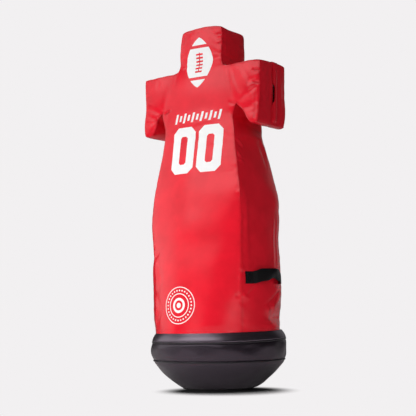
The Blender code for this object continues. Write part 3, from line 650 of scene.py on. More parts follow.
@dataclass
class Sheet:
    """A stretch of cloth as arrays, before it gets its thickness.

    Attributes:
        points: one row for each vertex.
        faces: vertex indices, seen anticlockwise from outside.
        normals: smooth normals, one row for each vertex.
        uv: one (u, v) pair in metres for each vertex.
        seam_wear_and_crease_shade: from 0 to 1 at each vertex, 1 on a seam; on the cover it also holds
            painted shade along the deepest creases.
    """

    points: Array
    faces: Faces
    normals: Array
    uv: Array
    seam_wear_and_crease_shade: Array

    def rim(self) -> list[tuple[int, int]]:
        """The directed edges that only one face has."""
        edges = {(f[i - 1], f[i]) for f in self.faces for i in range(len(f))}
        return [(a, b) for a, b in edges if (b, a) not in edges]

    def walled(self, name: str, thickness: float, finish: Finish) -> Object:
        """A closed thin solid of this cloth, which keeps the given normals.

        Args:
            name: the object's name.
            thickness: how deep the wall goes, inwards from the points.
            finish: what the cloth is made of.

        Returns:
            The new object.
        """
        count = len(self.points)
        inner = self.points - self.normals * thickness
        rim = sorted(self.rim())
        faces = list(self.faces) + [tuple(i + count for i in reversed(f)) for f in self.faces]
        faces += [(b, a, a + count, b + count) for a, b in rim]
        mesh = mesh_from(name, np.vstack([self.points, inner]), faces)
        corners = np.array([i for f in faces for i in f])
        outer = np.vstack([self.normals, -self.normals])[corners]
        sides = np.vstack([self.uv, self.uv])[corners]
        rim_start = sum(len(f) for f in faces[: 2 * len(self.faces)])
        face_normals = np.array([p.normal for p in mesh.polygons[2 * len(self.faces) :]])
        if len(face_normals):
            outer[rim_start:] = np.repeat(face_normals, 4, axis=0)
        layer = mesh.uv_layers.new(name="cloth")
        layer.data.foreach_set("uv", sides.astype(np.float32).ravel())
        seam = mesh.attributes.new("seam_wear_and_crease_shade", "FLOAT", "POINT")
        values = np.concatenate([self.seam_wear_and_crease_shade, self.seam_wear_and_crease_shade]).astype(np.float32)
        seam.data.foreach_set("value", values)
        mesh.shade_smooth()
        mesh.normals_split_custom_set([tuple(v) for v in outer])
        mesh.materials.append(Dye.of(finish))
        return new_object(name, mesh)

    def part(self, keep: Array) -> "Sheet":
        """The part of the cloth whose faces are marked."""
        faces = [f for f, kept in zip(self.faces, keep) if kept]
        used = np.unique(np.concatenate([np.array(f) for f in faces]))
        index = np.full(len(self.points), -1)
        index[used] = np.arange(len(used))
        moved = [tuple(int(index[i]) for i in f) for f in faces]
        arrays = (a[used] for a in (self.points, self.normals, self.uv, self.seam_wear_and_crease_shade))
        points, normals, uv, seam_wear_and_crease_shade = arrays
        return Sheet(points, moved, normals, uv, seam_wear_and_crease_shade)

    def own_normals(self) -> "Sheet":
        """The same cloth with normals from its own faces only, so that seams show as seams."""
        mesh = mesh_from("normals", self.points, self.faces)
        normals = vertex_normals(mesh)
        bpy.data.meshes.remove(mesh)
        return Sheet(self.points, self.faces, normals, self.uv, self.seam_wear_and_crease_shade)

    def turned_over(self) -> "Sheet":
        """The same cloth seen from its other side."""
        return Sheet.of(self.points, [f[::-1] for f in self.faces], self.uv, self.seam_wear_and_crease_shade)

    @classmethod
    def of(cls, points: Array, faces: Faces, uv: Array, seam_wear_and_crease_shade: Array | None = None) -> "Sheet":
        """A cloth from its points and faces, away from any seam unless it is said where one is."""
        near = np.zeros(len(points)) if seam_wear_and_crease_shade is None else seam_wear_and_crease_shade
        return cls(points, faces, points * 0, uv, near).own_normals()


# The body's form


@dataclass(frozen=True)
class Station:
    """The body's section at one height: half sizes at the panel seams and on the centre lines."""

    z: float
    seam_x: float
    seam_y: float
    front: float
    side: float


@dataclass(frozen=True)
class BodyShape:
    """The red cover's outer form, with the sizes of the CAD panels."""

    height: float = 1.524
    shoulder_z: float = 1.345
    armpit_z: float = 1.170
    arm_low_z: float = 1.086
    flex_top_z: float = 0.427
    flex_z: float = 0.330
    hem_z: float = 0.235
    low_z: float = 0.2221
    hem_radius: float = 0.262
    seam_angle: float = math.radians(55.7)
    arm_top_x: float = 0.294
    arm_low_x: float = 0.283
    arm_low_inner_x: float = 0.250
    armpit_x: float = 0.184
    arm_half_depth: float = 0.109
    neck_x: float = 0.109037
    head_top_x: float = 0.098
    head_half_depth: float = 0.091
    head_dome: float = 0.008
    chest_bulge: float = 0.008
    neck_blend: float = 0.045
    trunk: tuple[Station, ...] = (
        Station(0.340, 0.2230, 0.1520, 0.2520, 0.2580),
        Station(0.470, 0.2250, 0.1535, 0.2340, 0.2510),
        Station(0.600, 0.2220, 0.1510, 0.2130, 0.2440),
        Station(0.770, 0.2220, 0.1515, 0.1860, 0.2360),
        Station(0.900, 0.2040, 0.1390, 0.1600, 0.2120),
        Station(1.040, 0.1780, 0.1200, 0.1320, 0.1830),
    )

    def stations(self) -> tuple[Station, ...]:
        """The trunk's sections, with the round hem below and the armpits above."""
        r, a = self.hem_radius, self.seam_angle
        hem = Station(self.hem_z, r * math.sin(a), r * math.cos(a), r, r)
        depth = self.arm_half_depth
        top = Station(self.armpit_z, self.armpit_x, depth, depth + self.chest_bulge, 0.1845)
        return (hem, *self.trunk, top)

    def section(self, z: float) -> Station:
        """The trunk's section at a height."""
        rows = self.stations()
        knots = [s.z for s in rows]
        names = ("seam_x", "seam_y", "front", "side")
        return Station(z, *(smooth_through(knots, [getattr(s, n) for s in rows], z) for n in names))

    def front_reach(self, x: float, z: float) -> float:
        """How far the front face stands from the middle plane.

        Args:
            x: the place across the body.
            z: the place's height.

        Returns:
            The distance in metres.
        """
        x = abs(x)
        if z <= self.armpit_z:
            section = self.section(z)
            if x > section.seam_x + 1e-6 and z > self.arm_low_z - 1e-6:
                return self.arm_half_depth
            rise = section.front - section.seam_y
            return section.seam_y + arc_rise(x, section.seam_x, rise)
        up = ease((z - self.shoulder_z + self.neck_blend) / (2 * self.neck_blend))
        across = 1 - ease((x - self.neck_x) / (self.armpit_x - self.neck_x))
        edge = mix(self.arm_half_depth, self.head_half_depth, up * across)
        return edge + arc_rise(x, mix(self.armpit_x, self.neck_x, up), self.chest_bulge)

    def side_reach(self, y: float, z: float) -> float:
        """How far the trunk's side face stands from the middle at (y, z)."""
        section = self.section(z)
        return section.seam_x + arc_rise(y, section.seam_y, section.side - section.seam_x)

    def arm_end_x(self, z: float) -> float:
        """How far out the arm's end stands at a height."""
        return mix(self.arm_low_x, self.arm_top_x, (z - self.arm_low_z) / (self.shoulder_z - self.arm_low_z))

    def head_top_z(self, x: float) -> float:
        """The height of the head's top at a place across it."""
        return self.height - self.head_dome * (x / self.head_top_x) ** 2


class Panel(Enum):
    """The cover's panels. Each value is the name of the CAD node that the panel stands for."""

    FRONT = "front_panel"
    BACK = "back_panel"
    RIGHT_SIDE = "right_side_panel"
    LEFT_SIDE = "left_side_panel"
    RIGHT_ARM_FRONT = "right_arm_front_gusset"
    RIGHT_ARM_BACK = "right_arm_back_gusset"
    LEFT_ARM = "left_arm_gusset"
    HEAD = "head_gusset"
    ZIP_SLOT = "zip_slot"

    def index(self) -> int:
        """The panel's place in the list, which marks its faces."""
        return list(Panel).index(self)


@dataclass(frozen=True)
class Corner:
    """A corner of the body's outline in the front view, which the cloth turns round."""

    x: float
    z: float
    way: Pair
    depth: float
    reach: float

    def shift(self, x: Array, z: Array) -> tuple[Array, Array]:
        """How far points near the corner move, across and up."""
        away = np.hypot(np.abs(x) - self.x, z - self.z)
        share = np.clip(1 - away / self.reach, 0, 1) ** 2 * self.depth
        return np.sign(x) * self.way[0] * share, self.way[1] * share


@dataclass
class Patch:
    """A grid of points with a (u, v) pair each, and a panel for each of its faces."""

    points: list[list[Vector]]
    uv: list[list[Pair]]
    panel: Callable[[int, int], Panel]


@dataclass(frozen=True)
class Stop:
    """One point of the body's outline in the front view."""

    x: float
    z: float
    half_depth: float
    panel: Panel


@dataclass
class CoverShell:
    """The whole red cover as one welded skin of even quads, before it is cut into its panels."""

    shape: BodyShape
    half_columns: int = 27
    neck_columns: int = 16
    arm_columns: int = 12
    arm_rows: int = 12
    shoulder_rows: int = 21
    head_rows: int = 21
    ribbon_columns: int = 28
    slot_columns: Pair = (15, 17)
    slot_y: Pair = (0.008, 0.020)
    slot_foot: float = 0.0125
    row_height: float = 0.0085

    def trunk_rows(self) -> list[float]:
        """The heights of the trunk's rows, one of them at the flex."""
        s = self.shape
        rows = [s.low_z]
        for start, end in ((s.low_z, s.flex_z), (s.flex_z, s.armpit_z)):
            count = math.ceil((end - start) / self.row_height)
            rows += [mix(start, end, t) for t in shares(count)[1:]]
        return rows

    def upper_rows(self) -> list[float]:
        """The heights of the rows from the armpits to the shoulders."""
        return [mix(self.shape.armpit_z, self.shape.shoulder_z, t) for t in shares(self.shoulder_rows)]

    def front_grids(self) -> list[list[list[Pair]]]:
        """The front panel's grids of (x, z): trunk, shoulders, head, and both arms in two blocks."""
        s = self.shape
        wide, narrow = ([i / n for i in range(-n, n + 1)] for n in (self.half_columns, self.neck_columns))
        trunk = [[(u * s.section(z).seam_x, z) for u in wide] for z in self.trunk_rows()]
        shoulders = [[(u * s.armpit_x, z) for u in wide] for z in self.upper_rows()]
        head = []
        for t in shares(self.head_rows):
            across = [u * mix(s.neck_x, s.head_top_x, t) for u in narrow]
            head.append([(x, mix(s.shoulder_z, s.head_top_z(x), t)) for x in across])
        grids = [trunk, shoulders, head]
        for side in (1, -1):
            for block in (self.upper_arm(), self.lower_arm()):
                grids.append([[(side * x, z) for x, z in row] for row in block])
        return grids

    def face_patches(self, way: int, panel: Panel) -> list[Patch]:
        """The patches of the front panel where the way is -1, or of the back one where it is 1."""
        patches = []
        for grid in self.front_grids():
            points = [[Vector((x, way * self.shape.front_reach(x, z), z)) for x, z in row] for row in grid]
            patches.append(Patch(points, grid, lambda row, column: panel))
        return patches

    def upper_arm(self) -> list[list[Pair]]:
        """The block of an arm above the armpit."""
        s, steps = self.shape, shares(self.arm_columns)
        return [[(mix(s.armpit_x, s.arm_end_x(z), t), z) for t in steps] for z in self.upper_rows()]

    def lower_arm(self) -> list[list[Pair]]:
        """The block of an arm below the armpit, from its underside to its end."""
        s = self.shape
        grid = []
        for t in shares(self.arm_rows):
            x, z = mix(s.armpit_x, s.arm_low_inner_x, t), mix(s.armpit_z, s.arm_low_z, t)
            grid.append([(mix(x, s.arm_end_x(z), u), z) for u in shares(self.arm_columns)])
        return grid

    def half_outline(self) -> list[Stop]:
        """The right half of the outline, from the hem up to the middle of the head's top."""
        s, h, n = self.shape, self.half_columns, self.neck_columns
        arm = self.lower_arm()
        places = [(s.section(z).seam_x, z, Panel.RIGHT_SIDE) for z in self.trunk_rows()]
        under = [row[0] for row in arm[1:]] + list(arm[-1][1:])
        end = [row[-1] for row in reversed(arm[:-1])]
        end += [(s.arm_end_x(z), z) for z in self.upper_rows()[1:]]
        top = [(mix(s.arm_top_x, s.armpit_x, t), s.shoulder_z) for t in shares(self.arm_columns)[1:]]
        top += [(i / h * s.armpit_x, s.shoulder_z) for i in range(h - 1, n - 1, -1)]
        places += [(x, z, Panel.RIGHT_ARM_FRONT) for x, z in under + end + top]
        head = [self.head_side(t) for t in shares(self.head_rows)[1:]]
        across = [i / n * s.head_top_x for i in range(n - 1, -1, -1)]
        head += [(x, s.head_top_z(x)) for x in across]
        places += [(x, z, Panel.HEAD) for x, z in head]
        return [Stop(x, z, s.front_reach(x, z), panel) for x, z, panel in places]

    def head_side(self, t: float) -> Pair:
        """The point a share t of the way up the head's side."""
        s = self.shape
        x = mix(s.neck_x, s.head_top_x, t)
        return x, mix(s.shoulder_z, s.head_top_z(x), t)

    def outline(self) -> list[Stop]:
        """The whole outline, from the hem's right over the head to the hem's left."""
        right = self.half_outline()
        other = {Panel.RIGHT_SIDE: Panel.LEFT_SIDE, Panel.RIGHT_ARM_FRONT: Panel.LEFT_ARM}
        left = [Stop(-p.x, p.z, p.half_depth, other.get(p.panel, p.panel)) for p in reversed(right[:-1])]
        return right + left

    def ribbon_y(self, stop: Stop) -> list[float]:
        """The places across the strip at one point of the outline."""
        count, half = self.ribbon_columns, stop.half_depth
        if stop.panel is not Panel.RIGHT_ARM_FRONT:
            return [mix(-half, half, t) for t in shares(count)]
        a, b = self.slot_columns
        knots, values = (0, a, b, count), (-half, *self.slot_y, half)
        return [float(np.interp(j, knots, values)) for j in range(count + 1)]

    def ribbon_patch(self) -> Patch:
        """The strip between the front and back panels: both sides, the arms and the head."""
        stops = self.outline()
        points, uv = [], []
        along = 0.0
        for i, stop in enumerate(stops):
            if i:
                along += math.hypot(stop.x - stops[i - 1].x, stop.z - stops[i - 1].z)
            row, flat = [], []
            for y in self.ribbon_y(stop):
                x = stop.x
                if stop.panel in (Panel.RIGHT_SIDE, Panel.LEFT_SIDE):
                    x = math.copysign(self.shape.side_reach(y, stop.z), stop.x)
                row.append(Vector((x, y, stop.z)))
                flat.append((y, along))
            points.append(row)
            uv.append(flat)
        return Patch(points, uv, lambda row, column: self.strip_panel(stops[row], stops[row + 1], column))

    def strip_panel(self, start: Stop, end: Stop, column: int) -> Panel:
        """Which panel a face of the strip belongs to.

        Args:
            start: the outline's point before the face.
            end: the outline's point after it.
            column: the face's place across the strip.

        Returns:
            The panel.
        """
        kinds = {start.panel, end.panel}
        arm_or_side = {Panel.LEFT_ARM, Panel.LEFT_SIDE, Panel.RIGHT_ARM_FRONT}
        panel = end.panel if start.x > 0 else start.panel
        if kinds & {Panel.HEAD} and kinds & arm_or_side:
            panel = Panel.HEAD
        under_arm = start.x < self.shape.arm_low_inner_x and start.z < self.shape.armpit_z + 1e-6
        closed = under_arm or start.z < self.shape.arm_low_z + self.slot_foot
        if panel is Panel.RIGHT_ARM_FRONT and column >= self.slot_columns[1 - closed]:
            return Panel.RIGHT_ARM_BACK
        if panel is Panel.RIGHT_ARM_FRONT and column >= self.slot_columns[0]:
            return Panel.ZIP_SLOT
        return panel

    def corners(self) -> list[Corner]:
        """The outline's corners: arm ends, head, neck and armpits."""
        s = self.shape
        return [
            Corner(s.arm_top_x, s.shoulder_z, (-0.72, -0.69), 0.0030, 0.024),
            Corner(s.arm_low_x, s.arm_low_z, (-0.69, 0.72), 0.0040, 0.026),
            Corner(s.arm_low_inner_x, s.arm_low_z, (0.35, 0.94), 0.0020, 0.022),
            Corner(s.head_top_x, s.head_top_z(s.head_top_x), (-0.72, -0.69), 0.0035, 0.026),
            Corner(s.neck_x, s.shoulder_z, (0.71, 0.71), 0.0085, 0.042),
        ]

    def build(self) -> Mesh:
        """Weld the patches, round the corners and mark the panels.

        Returns:
            The skin, with each face's panel as its material index and a UV map in metres.
        """
        patches = self.face_patches(-1, Panel.FRONT) + self.face_patches(1, Panel.BACK)
        bm = bmesh.new()
        layer = bm.loops.layers.uv.new("cloth")
        for patch in (*patches, self.ribbon_patch()):
            self.add_patch(bm, layer, patch)
        bmesh.ops.remove_doubles(bm, verts=bm.verts, dist=2 * WELD)
        self.face_outwards(bm)
        mesh = mesh_of(bm, "cover")
        points = coordinates(mesh)
        for corner in self.corners():
            dx, dz = corner.shift(points[:, 0], points[:, 2])
            points[:, 0] += dx
            points[:, 2] += dz
        put_points(mesh, points)
        return mesh

    def add_patch(self, bm: bmesh.types.BMesh, layer: bmesh.types.BMLayerItem, patch: Patch) -> None:
        """Add a patch's points and faces to the mesh."""
        grid = [[bm.verts.new(p) for p in row] for row in patch.points]
        for r in range(len(grid) - 1):
            for c in range(len(grid[r]) - 1):
                ring = ((r, c), (r, c + 1), (r + 1, c + 1), (r + 1, c))
                face = bm.faces.new([grid[a][b] for a, b in ring])
                face.material_index = patch.panel(r, c).index()
                for loop, (a, b) in zip(face.loops, ring):
                    loop[layer].uv = patch.uv[a][b]

    def face_outwards(self, bm: bmesh.types.BMesh) -> None:
        """Turn every face away from the body's inside."""
        bmesh.ops.recalc_face_normals(bm, faces=bm.faces)
        bm.normal_update()
        front = [f for f in bm.faces if f.material_index == Panel.FRONT.index()]
        if sum(f.normal.y for f in front) > 0:
            bmesh.ops.reverse_faces(bm, faces=bm.faces)


@dataclass(frozen=True)
class Pull:
    """A soft shift of the cloth round one place, where the padding or a seam draws it.

    Attributes:
        middle: where the cloth moves most.
        reach: how far along each axis the shift fades.
        move: how far it moves there.
    """

    middle: Triple
    reach: Triple
    move: Triple

    def shift(self, points: Array) -> Array:
        """How far each point moves."""
        away = (points - self.middle) / self.reach
        return np.exp(-np.sum(away**2, axis=1))[:, None] * np.array(self.move)


@dataclass(frozen=True)
class Fold:
    """A crease or ridge drawn on the cloth, along a line of points.

    Attributes:
        line: points that the fold passes.
        depth: how far it goes in, or out where it is negative.
        width: how wide it is.
        ends: the power that rounds how it fades to its ends.
    """

    line: tuple[Triple, ...]
    depth: float
    width: float
    ends: float = 0.6

    def shift(self, points: Array) -> Array:
        """How far each point moves outwards."""
        best = np.full(len(points), 1e9)
        share = np.zeros(len(points))
        spans = [np.linalg.norm(np.subtract(b, a)) for a, b in zip(self.line, self.line[1:])]
        total, passed = sum(spans), 0.0
        for a, b, span in zip(self.line, self.line[1:], spans):
            start, way = np.array(a), np.subtract(b, a) / span
            t = np.clip((points - start) @ way, 0, span)
            away = np.linalg.norm(points - start - t[:, None] * way, axis=1)
            nearer = away < best
            best = np.where(nearer, away, best)
            share = np.where(nearer, (passed + t) / total, share)
            passed += span
        taper = np.sin(np.clip(share, 0, 1) * math.pi) ** self.ends
        return -self.depth * taper * bell(best, self.width)


# The pulls, in millimetres: the middle, the reach along each axis, and the move. DEEP takes in the
# whole depth of the body. The paired ones stand on both sides.

DEEP = 400

PULLS = (
    ((-105, 0, 1440), (45, DEEP, 85), (-10, 0, 0)),
    ((80, 0, 1530), (150, DEEP, 50), (0, 0, 8.5)),
    ((270, 0, 1350), (100, DEEP, 50), (0, 0, 5.5)),
    ((300, 70, 1350), (60, 120, 45), (0, 0, 9.5)),
    ((-270, 0, 1350), (80, DEEP, 50), (0, 0, -7)),
    ((-290, -109, 1150), (30, 80, 40), (-6, 0, 0)),
    ((-200, -100, 1165), (35, 60, 45), (-14, 0, 0)),
    ((186, -105, 1140), (40, 50, 33), (-17.5, 4, 0)),
    ((222, -100, 1142), (32, 80, 36), (13, 0, 3)),
    ((186, -30, 1118), (40, 115, 45), (-14, 0, 0)),
    ((-285, 0, 1085), (50, DEEP, 70), (-12, 0, -4)),
    ((303, -109, 1190), (18, 22, 100), (4, 24, 0)),
    ((294, -109, 1345), (30, 30, 30), (3, 9, -4)),
    ((100, -90, 1508), (40, 90, 45), (8.5, 0, 0)),
    ((100, 90, 1500), (45, 80, 25), (4, 0, 0)),
    ((107, 90, 1395), (30, 80, 30), (-3.5, 0, 0)),
    ((98, -10, 1520), (40, 60, 30), (0, 0, -5.5)),
    ((-88, 0, 1518), (30, DEEP, 30), (0, 0, 4)),
    ((106, -90, 1388), (30, 80, 32), (-7, 0, 0)),
    ((285, 100, 1160), (40, 60, 50), (5, 0, 0)),
    ((170, 100, 1065), (40, 60, 35), (-9, 0, 0)),
    ((225, 130, 775), (60, 80, 70), (7, 0, 0)),
    ((225, 150, 745), (40, 60, 30), (-4.5, 0, 0)),
    ((245, 110, 405), (50, 80, 30), (5, 2, 0)),
    ((248, -50, 505), (40, 46, 30), (-6, 0, 0)),
    ((250, 70, 292), (50, 80, 22), (-23.5, -4, 0)),
    ((-215, -160, 665), (60, 80, 85), (-7.5, 0, 0)),
    ((-220, -155, 548), (50, 60, 20), (4.5, 0, 0)),
    ((-225, -155, 470), (50, 60, 50), (-3, 0, 0)),
    ((-235, -150, 300), (50, 60, 35), (-4, -1, 0)),
    ((-175, -110, 1030), (50, 60, 60), (-6, 0, 0)),
)

PAIRED_PULLS = (
    ((206, -80, 1142), (22, 120, 24), (11, 0, 8)),
    ((186, 105, 1130), (40, 50, 35), (-7, -3, 0)),
    ((186, 0, 1172), (30, DEEP, 20), (3.5, 0, 8.5)),
)

# The folds, in millimetres: the depth, the width, and the points that the fold passes.

ARM_FOLDS = (
    (6, 4.8, (262, -110, 1306.5), (300, -104, 1300.5)),
    (6.4, 5.2, (260, -110, 1255.5), (300, -98, 1247.5)),
    (4.2, 8, (289, -108, 1243), (270, -110, 1232), (250, -110, 1217)),
    (-3, 9, (282, -109, 1258), (262, -110, 1247), (244, -110, 1230)),
    (5.4, 4, (281, -109, 1262), (274, -109, 1200), (267, -109, 1106)),
    (-2, 12, (137, -114, 1335), (160, -112, 1280), (196, -110, 1208)),
    (1.6, 10, (158, -114, 1335), (180, -112, 1280), (210, -110, 1215)),
    (-1.8, 11, (204, -112, 1325), (225, -110, 1270), (246, -110, 1215)),
    (1.4, 9, (222, -112, 1325), (240, -110, 1285), (255, -110, 1245)),
    (1.4, 11, (242, -110, 1210), (255, -110, 1160), (268, -109, 1105)),
    (-1.6, 9, (200, -110, 1162), (225, -110, 1130), (252, -109, 1096)),
    (-1, 8, (292, -60, 1330), (287, -54, 1120)),
    (-3.2, 8, (294, -24, 1330), (291, -17, 1250), (288, -12, 1150)),
    (-1.2, 9, (292, 62, 1320), (288, 70, 1130)),
)

PAIRED_FOLDS = (
    (5.4, 4.6, (146, -115, 1186), (166, -112, 1178), (186, -109, 1170)),
    (-2.2, 6, (152, -115, 1172), (168, -112, 1167)),
    (2.6, 6, (150, 115, 1190), (184, 109, 1172)),
)

HEAD_FOLDS = (
    (5.2, 4.4, (80, -93.5, 1487), (113, -89, 1489)),
    (4.2, 4.2, (84, -93.5, 1472), (113, -89, 1473.5)),
    (5.2, 4.4, (84, -93, 1447), (112, -89, 1448.5)),
    (1.8, 5, (88, -93, 1405), (102, -91, 1408)),
    (2.4, 4.5, (-78, -93.5, 1480), (-96, -92, 1483)),
    (-1.2, 5, (103, -64, 1490), (108, -60, 1365)),
    (-1.2, 5, (103, -40, 1490), (108, -34, 1365)),
    (0.8, 6, (103, 10, 1480), (108, 14, 1370)),
)

SIDE_FOLDS = (
    (-5.8, 6.2, (181, -112, 1033), (184, -96, 1018), (188, -76, 997)),
    (3.4, 5, (183, -112, 1016), (188, -94, 1000), (191, -84, 984)),
    (-5.4, 5.8, (190, -121, 974), (194, -112, 962), (197, -102, 948)),
    (-4.4, 5.5, (197, -129, 940), (200, -112, 936), (203, -92, 930)),
    (-3.4, 10, (182, 80, 1055), (187, 100, 1010), (192, 118, 965)),
    (1.8, 12, (190, 50, 1040), (197, 70, 980), (206, 90, 920)),
    (-5.2, 15, (228, -128, 850), (235, -126, 640), (240, -120, 480)),
    (-1.8, 6.5, (226, -148, 720), (229, -148, 640), (233, -146, 550)),
    (1.2, 6.5, (229, -136, 720), (233, -134, 640), (236, -130, 580)),
    (-1.8, 8, (235, 81, 725), (241, 68, 610), (246, 57, 490)),
    (-2, 7.5, (228, 118, 725), (234, 108, 610), (239, 100, 490)),
    (2.4, 7, (243, -86, 535), (246, -82, 488)),
    (1.4, 13, (-190, -173, 548), (-141, -205, 463), (-158, -202, 398)),
    (1.4, 13, (-170, -195, 390), (-127, -224, 334), (-162, -206, 258)),
    (-3.6, 15, (-200, -168, 532), (-176, -185, 466), (-186, -182, 402)),
    (-3.6, 15, (-192, -183, 386), (-166, -201, 335), (-186, -192, 272)),
    (2.2, 6.5, (-212, -160, 545), (-190, -172, 556), (-165, -186, 572)),
)

SKIRT_FOLDS = (
    (2.8, 7.5, (246, -83, 421), (241, -110, 400), (232, -138, 372)),
    (-3.6, 8.5, (225, -153, 386), (231, -138, 379), (237, -120, 372)),
    (2.4, 7, (205, -171, 388), (218, -160, 374)),
    (2.6, 8, (256, -40, 342), (256, 24, 368), (244, 92, 406), (230, 140, 430)),
    (-4.4, 17, (257, -10, 322), (255, 40, 346), (245, 92, 374), (232, 136, 400)),
    (-3, 9.5, (257, -28, 345), (259, -2, 305), (259, 22, 268)),
    (2.6, 8.5, (257, -8, 352), (259, 20, 312), (258, 38, 285)),
    (-2.6, 9, (256, 28, 350), (257, 46, 318), (255, 60, 292)),
)


@dataclass(frozen=True)
class Settling:
    """How the padding pushes a skin out while its seams hold it."""

    pressure: float = 4.0
    frames: int = 20
    quality: int = 5
    mass: float = 0.25
    stretch: float = 15.0
    bending: float = 0.6
    damping: float = 2.0
    goal: float = 1.0
    gathered: float = 0.03
    limit: float = 0.006

    def cloth_settings(self) -> dict[str, object]:
        """The cloth's settings by name."""
        return {
            "quality": self.quality,
            "mass": self.mass,
            "tension_stiffness": self.stretch,
            "compression_stiffness": self.stretch,
            "shear_stiffness": self.stretch / 3,
            "bending_stiffness": self.bending,
            "air_damping": self.damping,
            "use_pressure": True,
            "uniform_pressure_force": self.pressure,
            "vertex_group_mass": "hold",
            "pin_stiffness": self.goal,
            "vertex_group_shrink": "gather",
            "shrink_min": 0.0,
            "shrink_max": self.gathered,
        }

    def run(self, mesh: Mesh, hold: Array, gather: Array) -> None:
        """Simulate the skin as cloth and move its points to where it comes to rest.

        Args:
            mesh: the skin, whose points are moved.
            hold: how firmly each point is held, from 0 to 1.
            gather: how strongly each point's cloth is drawn together, from 0 to 1.
        """
        before = coordinates(mesh)
        made = new_object("settling", mesh.copy())
        for name, weights in (("hold", hold), ("gather", gather)):
            group = made.vertex_groups.new(name=name)
            for level in np.unique(np.round(weights, 2)):
                chosen = np.nonzero(np.round(weights, 2) == level)[0]
                group.add([int(i) for i in chosen], float(level), "REPLACE")
        cloth = made.modifiers.new("cloth", "CLOTH")
        for name, value in self.cloth_settings().items():
            setattr(cloth.settings, name, value)
        cloth.settings.effector_weights.gravity = 0
        cloth.collision_settings.use_collision = False
        cloth.collision_settings.use_self_collision = False
        cloth.point_cache.frame_start = 1
        cloth.point_cache.frame_end = self.frames
        for frame_number in range(1, self.frames + 1):
            bpy.context.scene.frame_set(frame_number)
        settled = evaluated_mesh(made, "settled")
        after = coordinates(settled)
        bpy.data.meshes.remove(settled)
        bpy.context.scene.frame_set(1)
        move = after - before
        length = np.linalg.norm(move, axis=1, keepdims=True)
        scale = np.minimum(1, self.limit / np.maximum(length, 1e-9))
        LOG.info("settled %s: middle move %.4f, largest %.4f", mesh.name, np.median(length), length.max())
        put_points(mesh, before + move * scale)


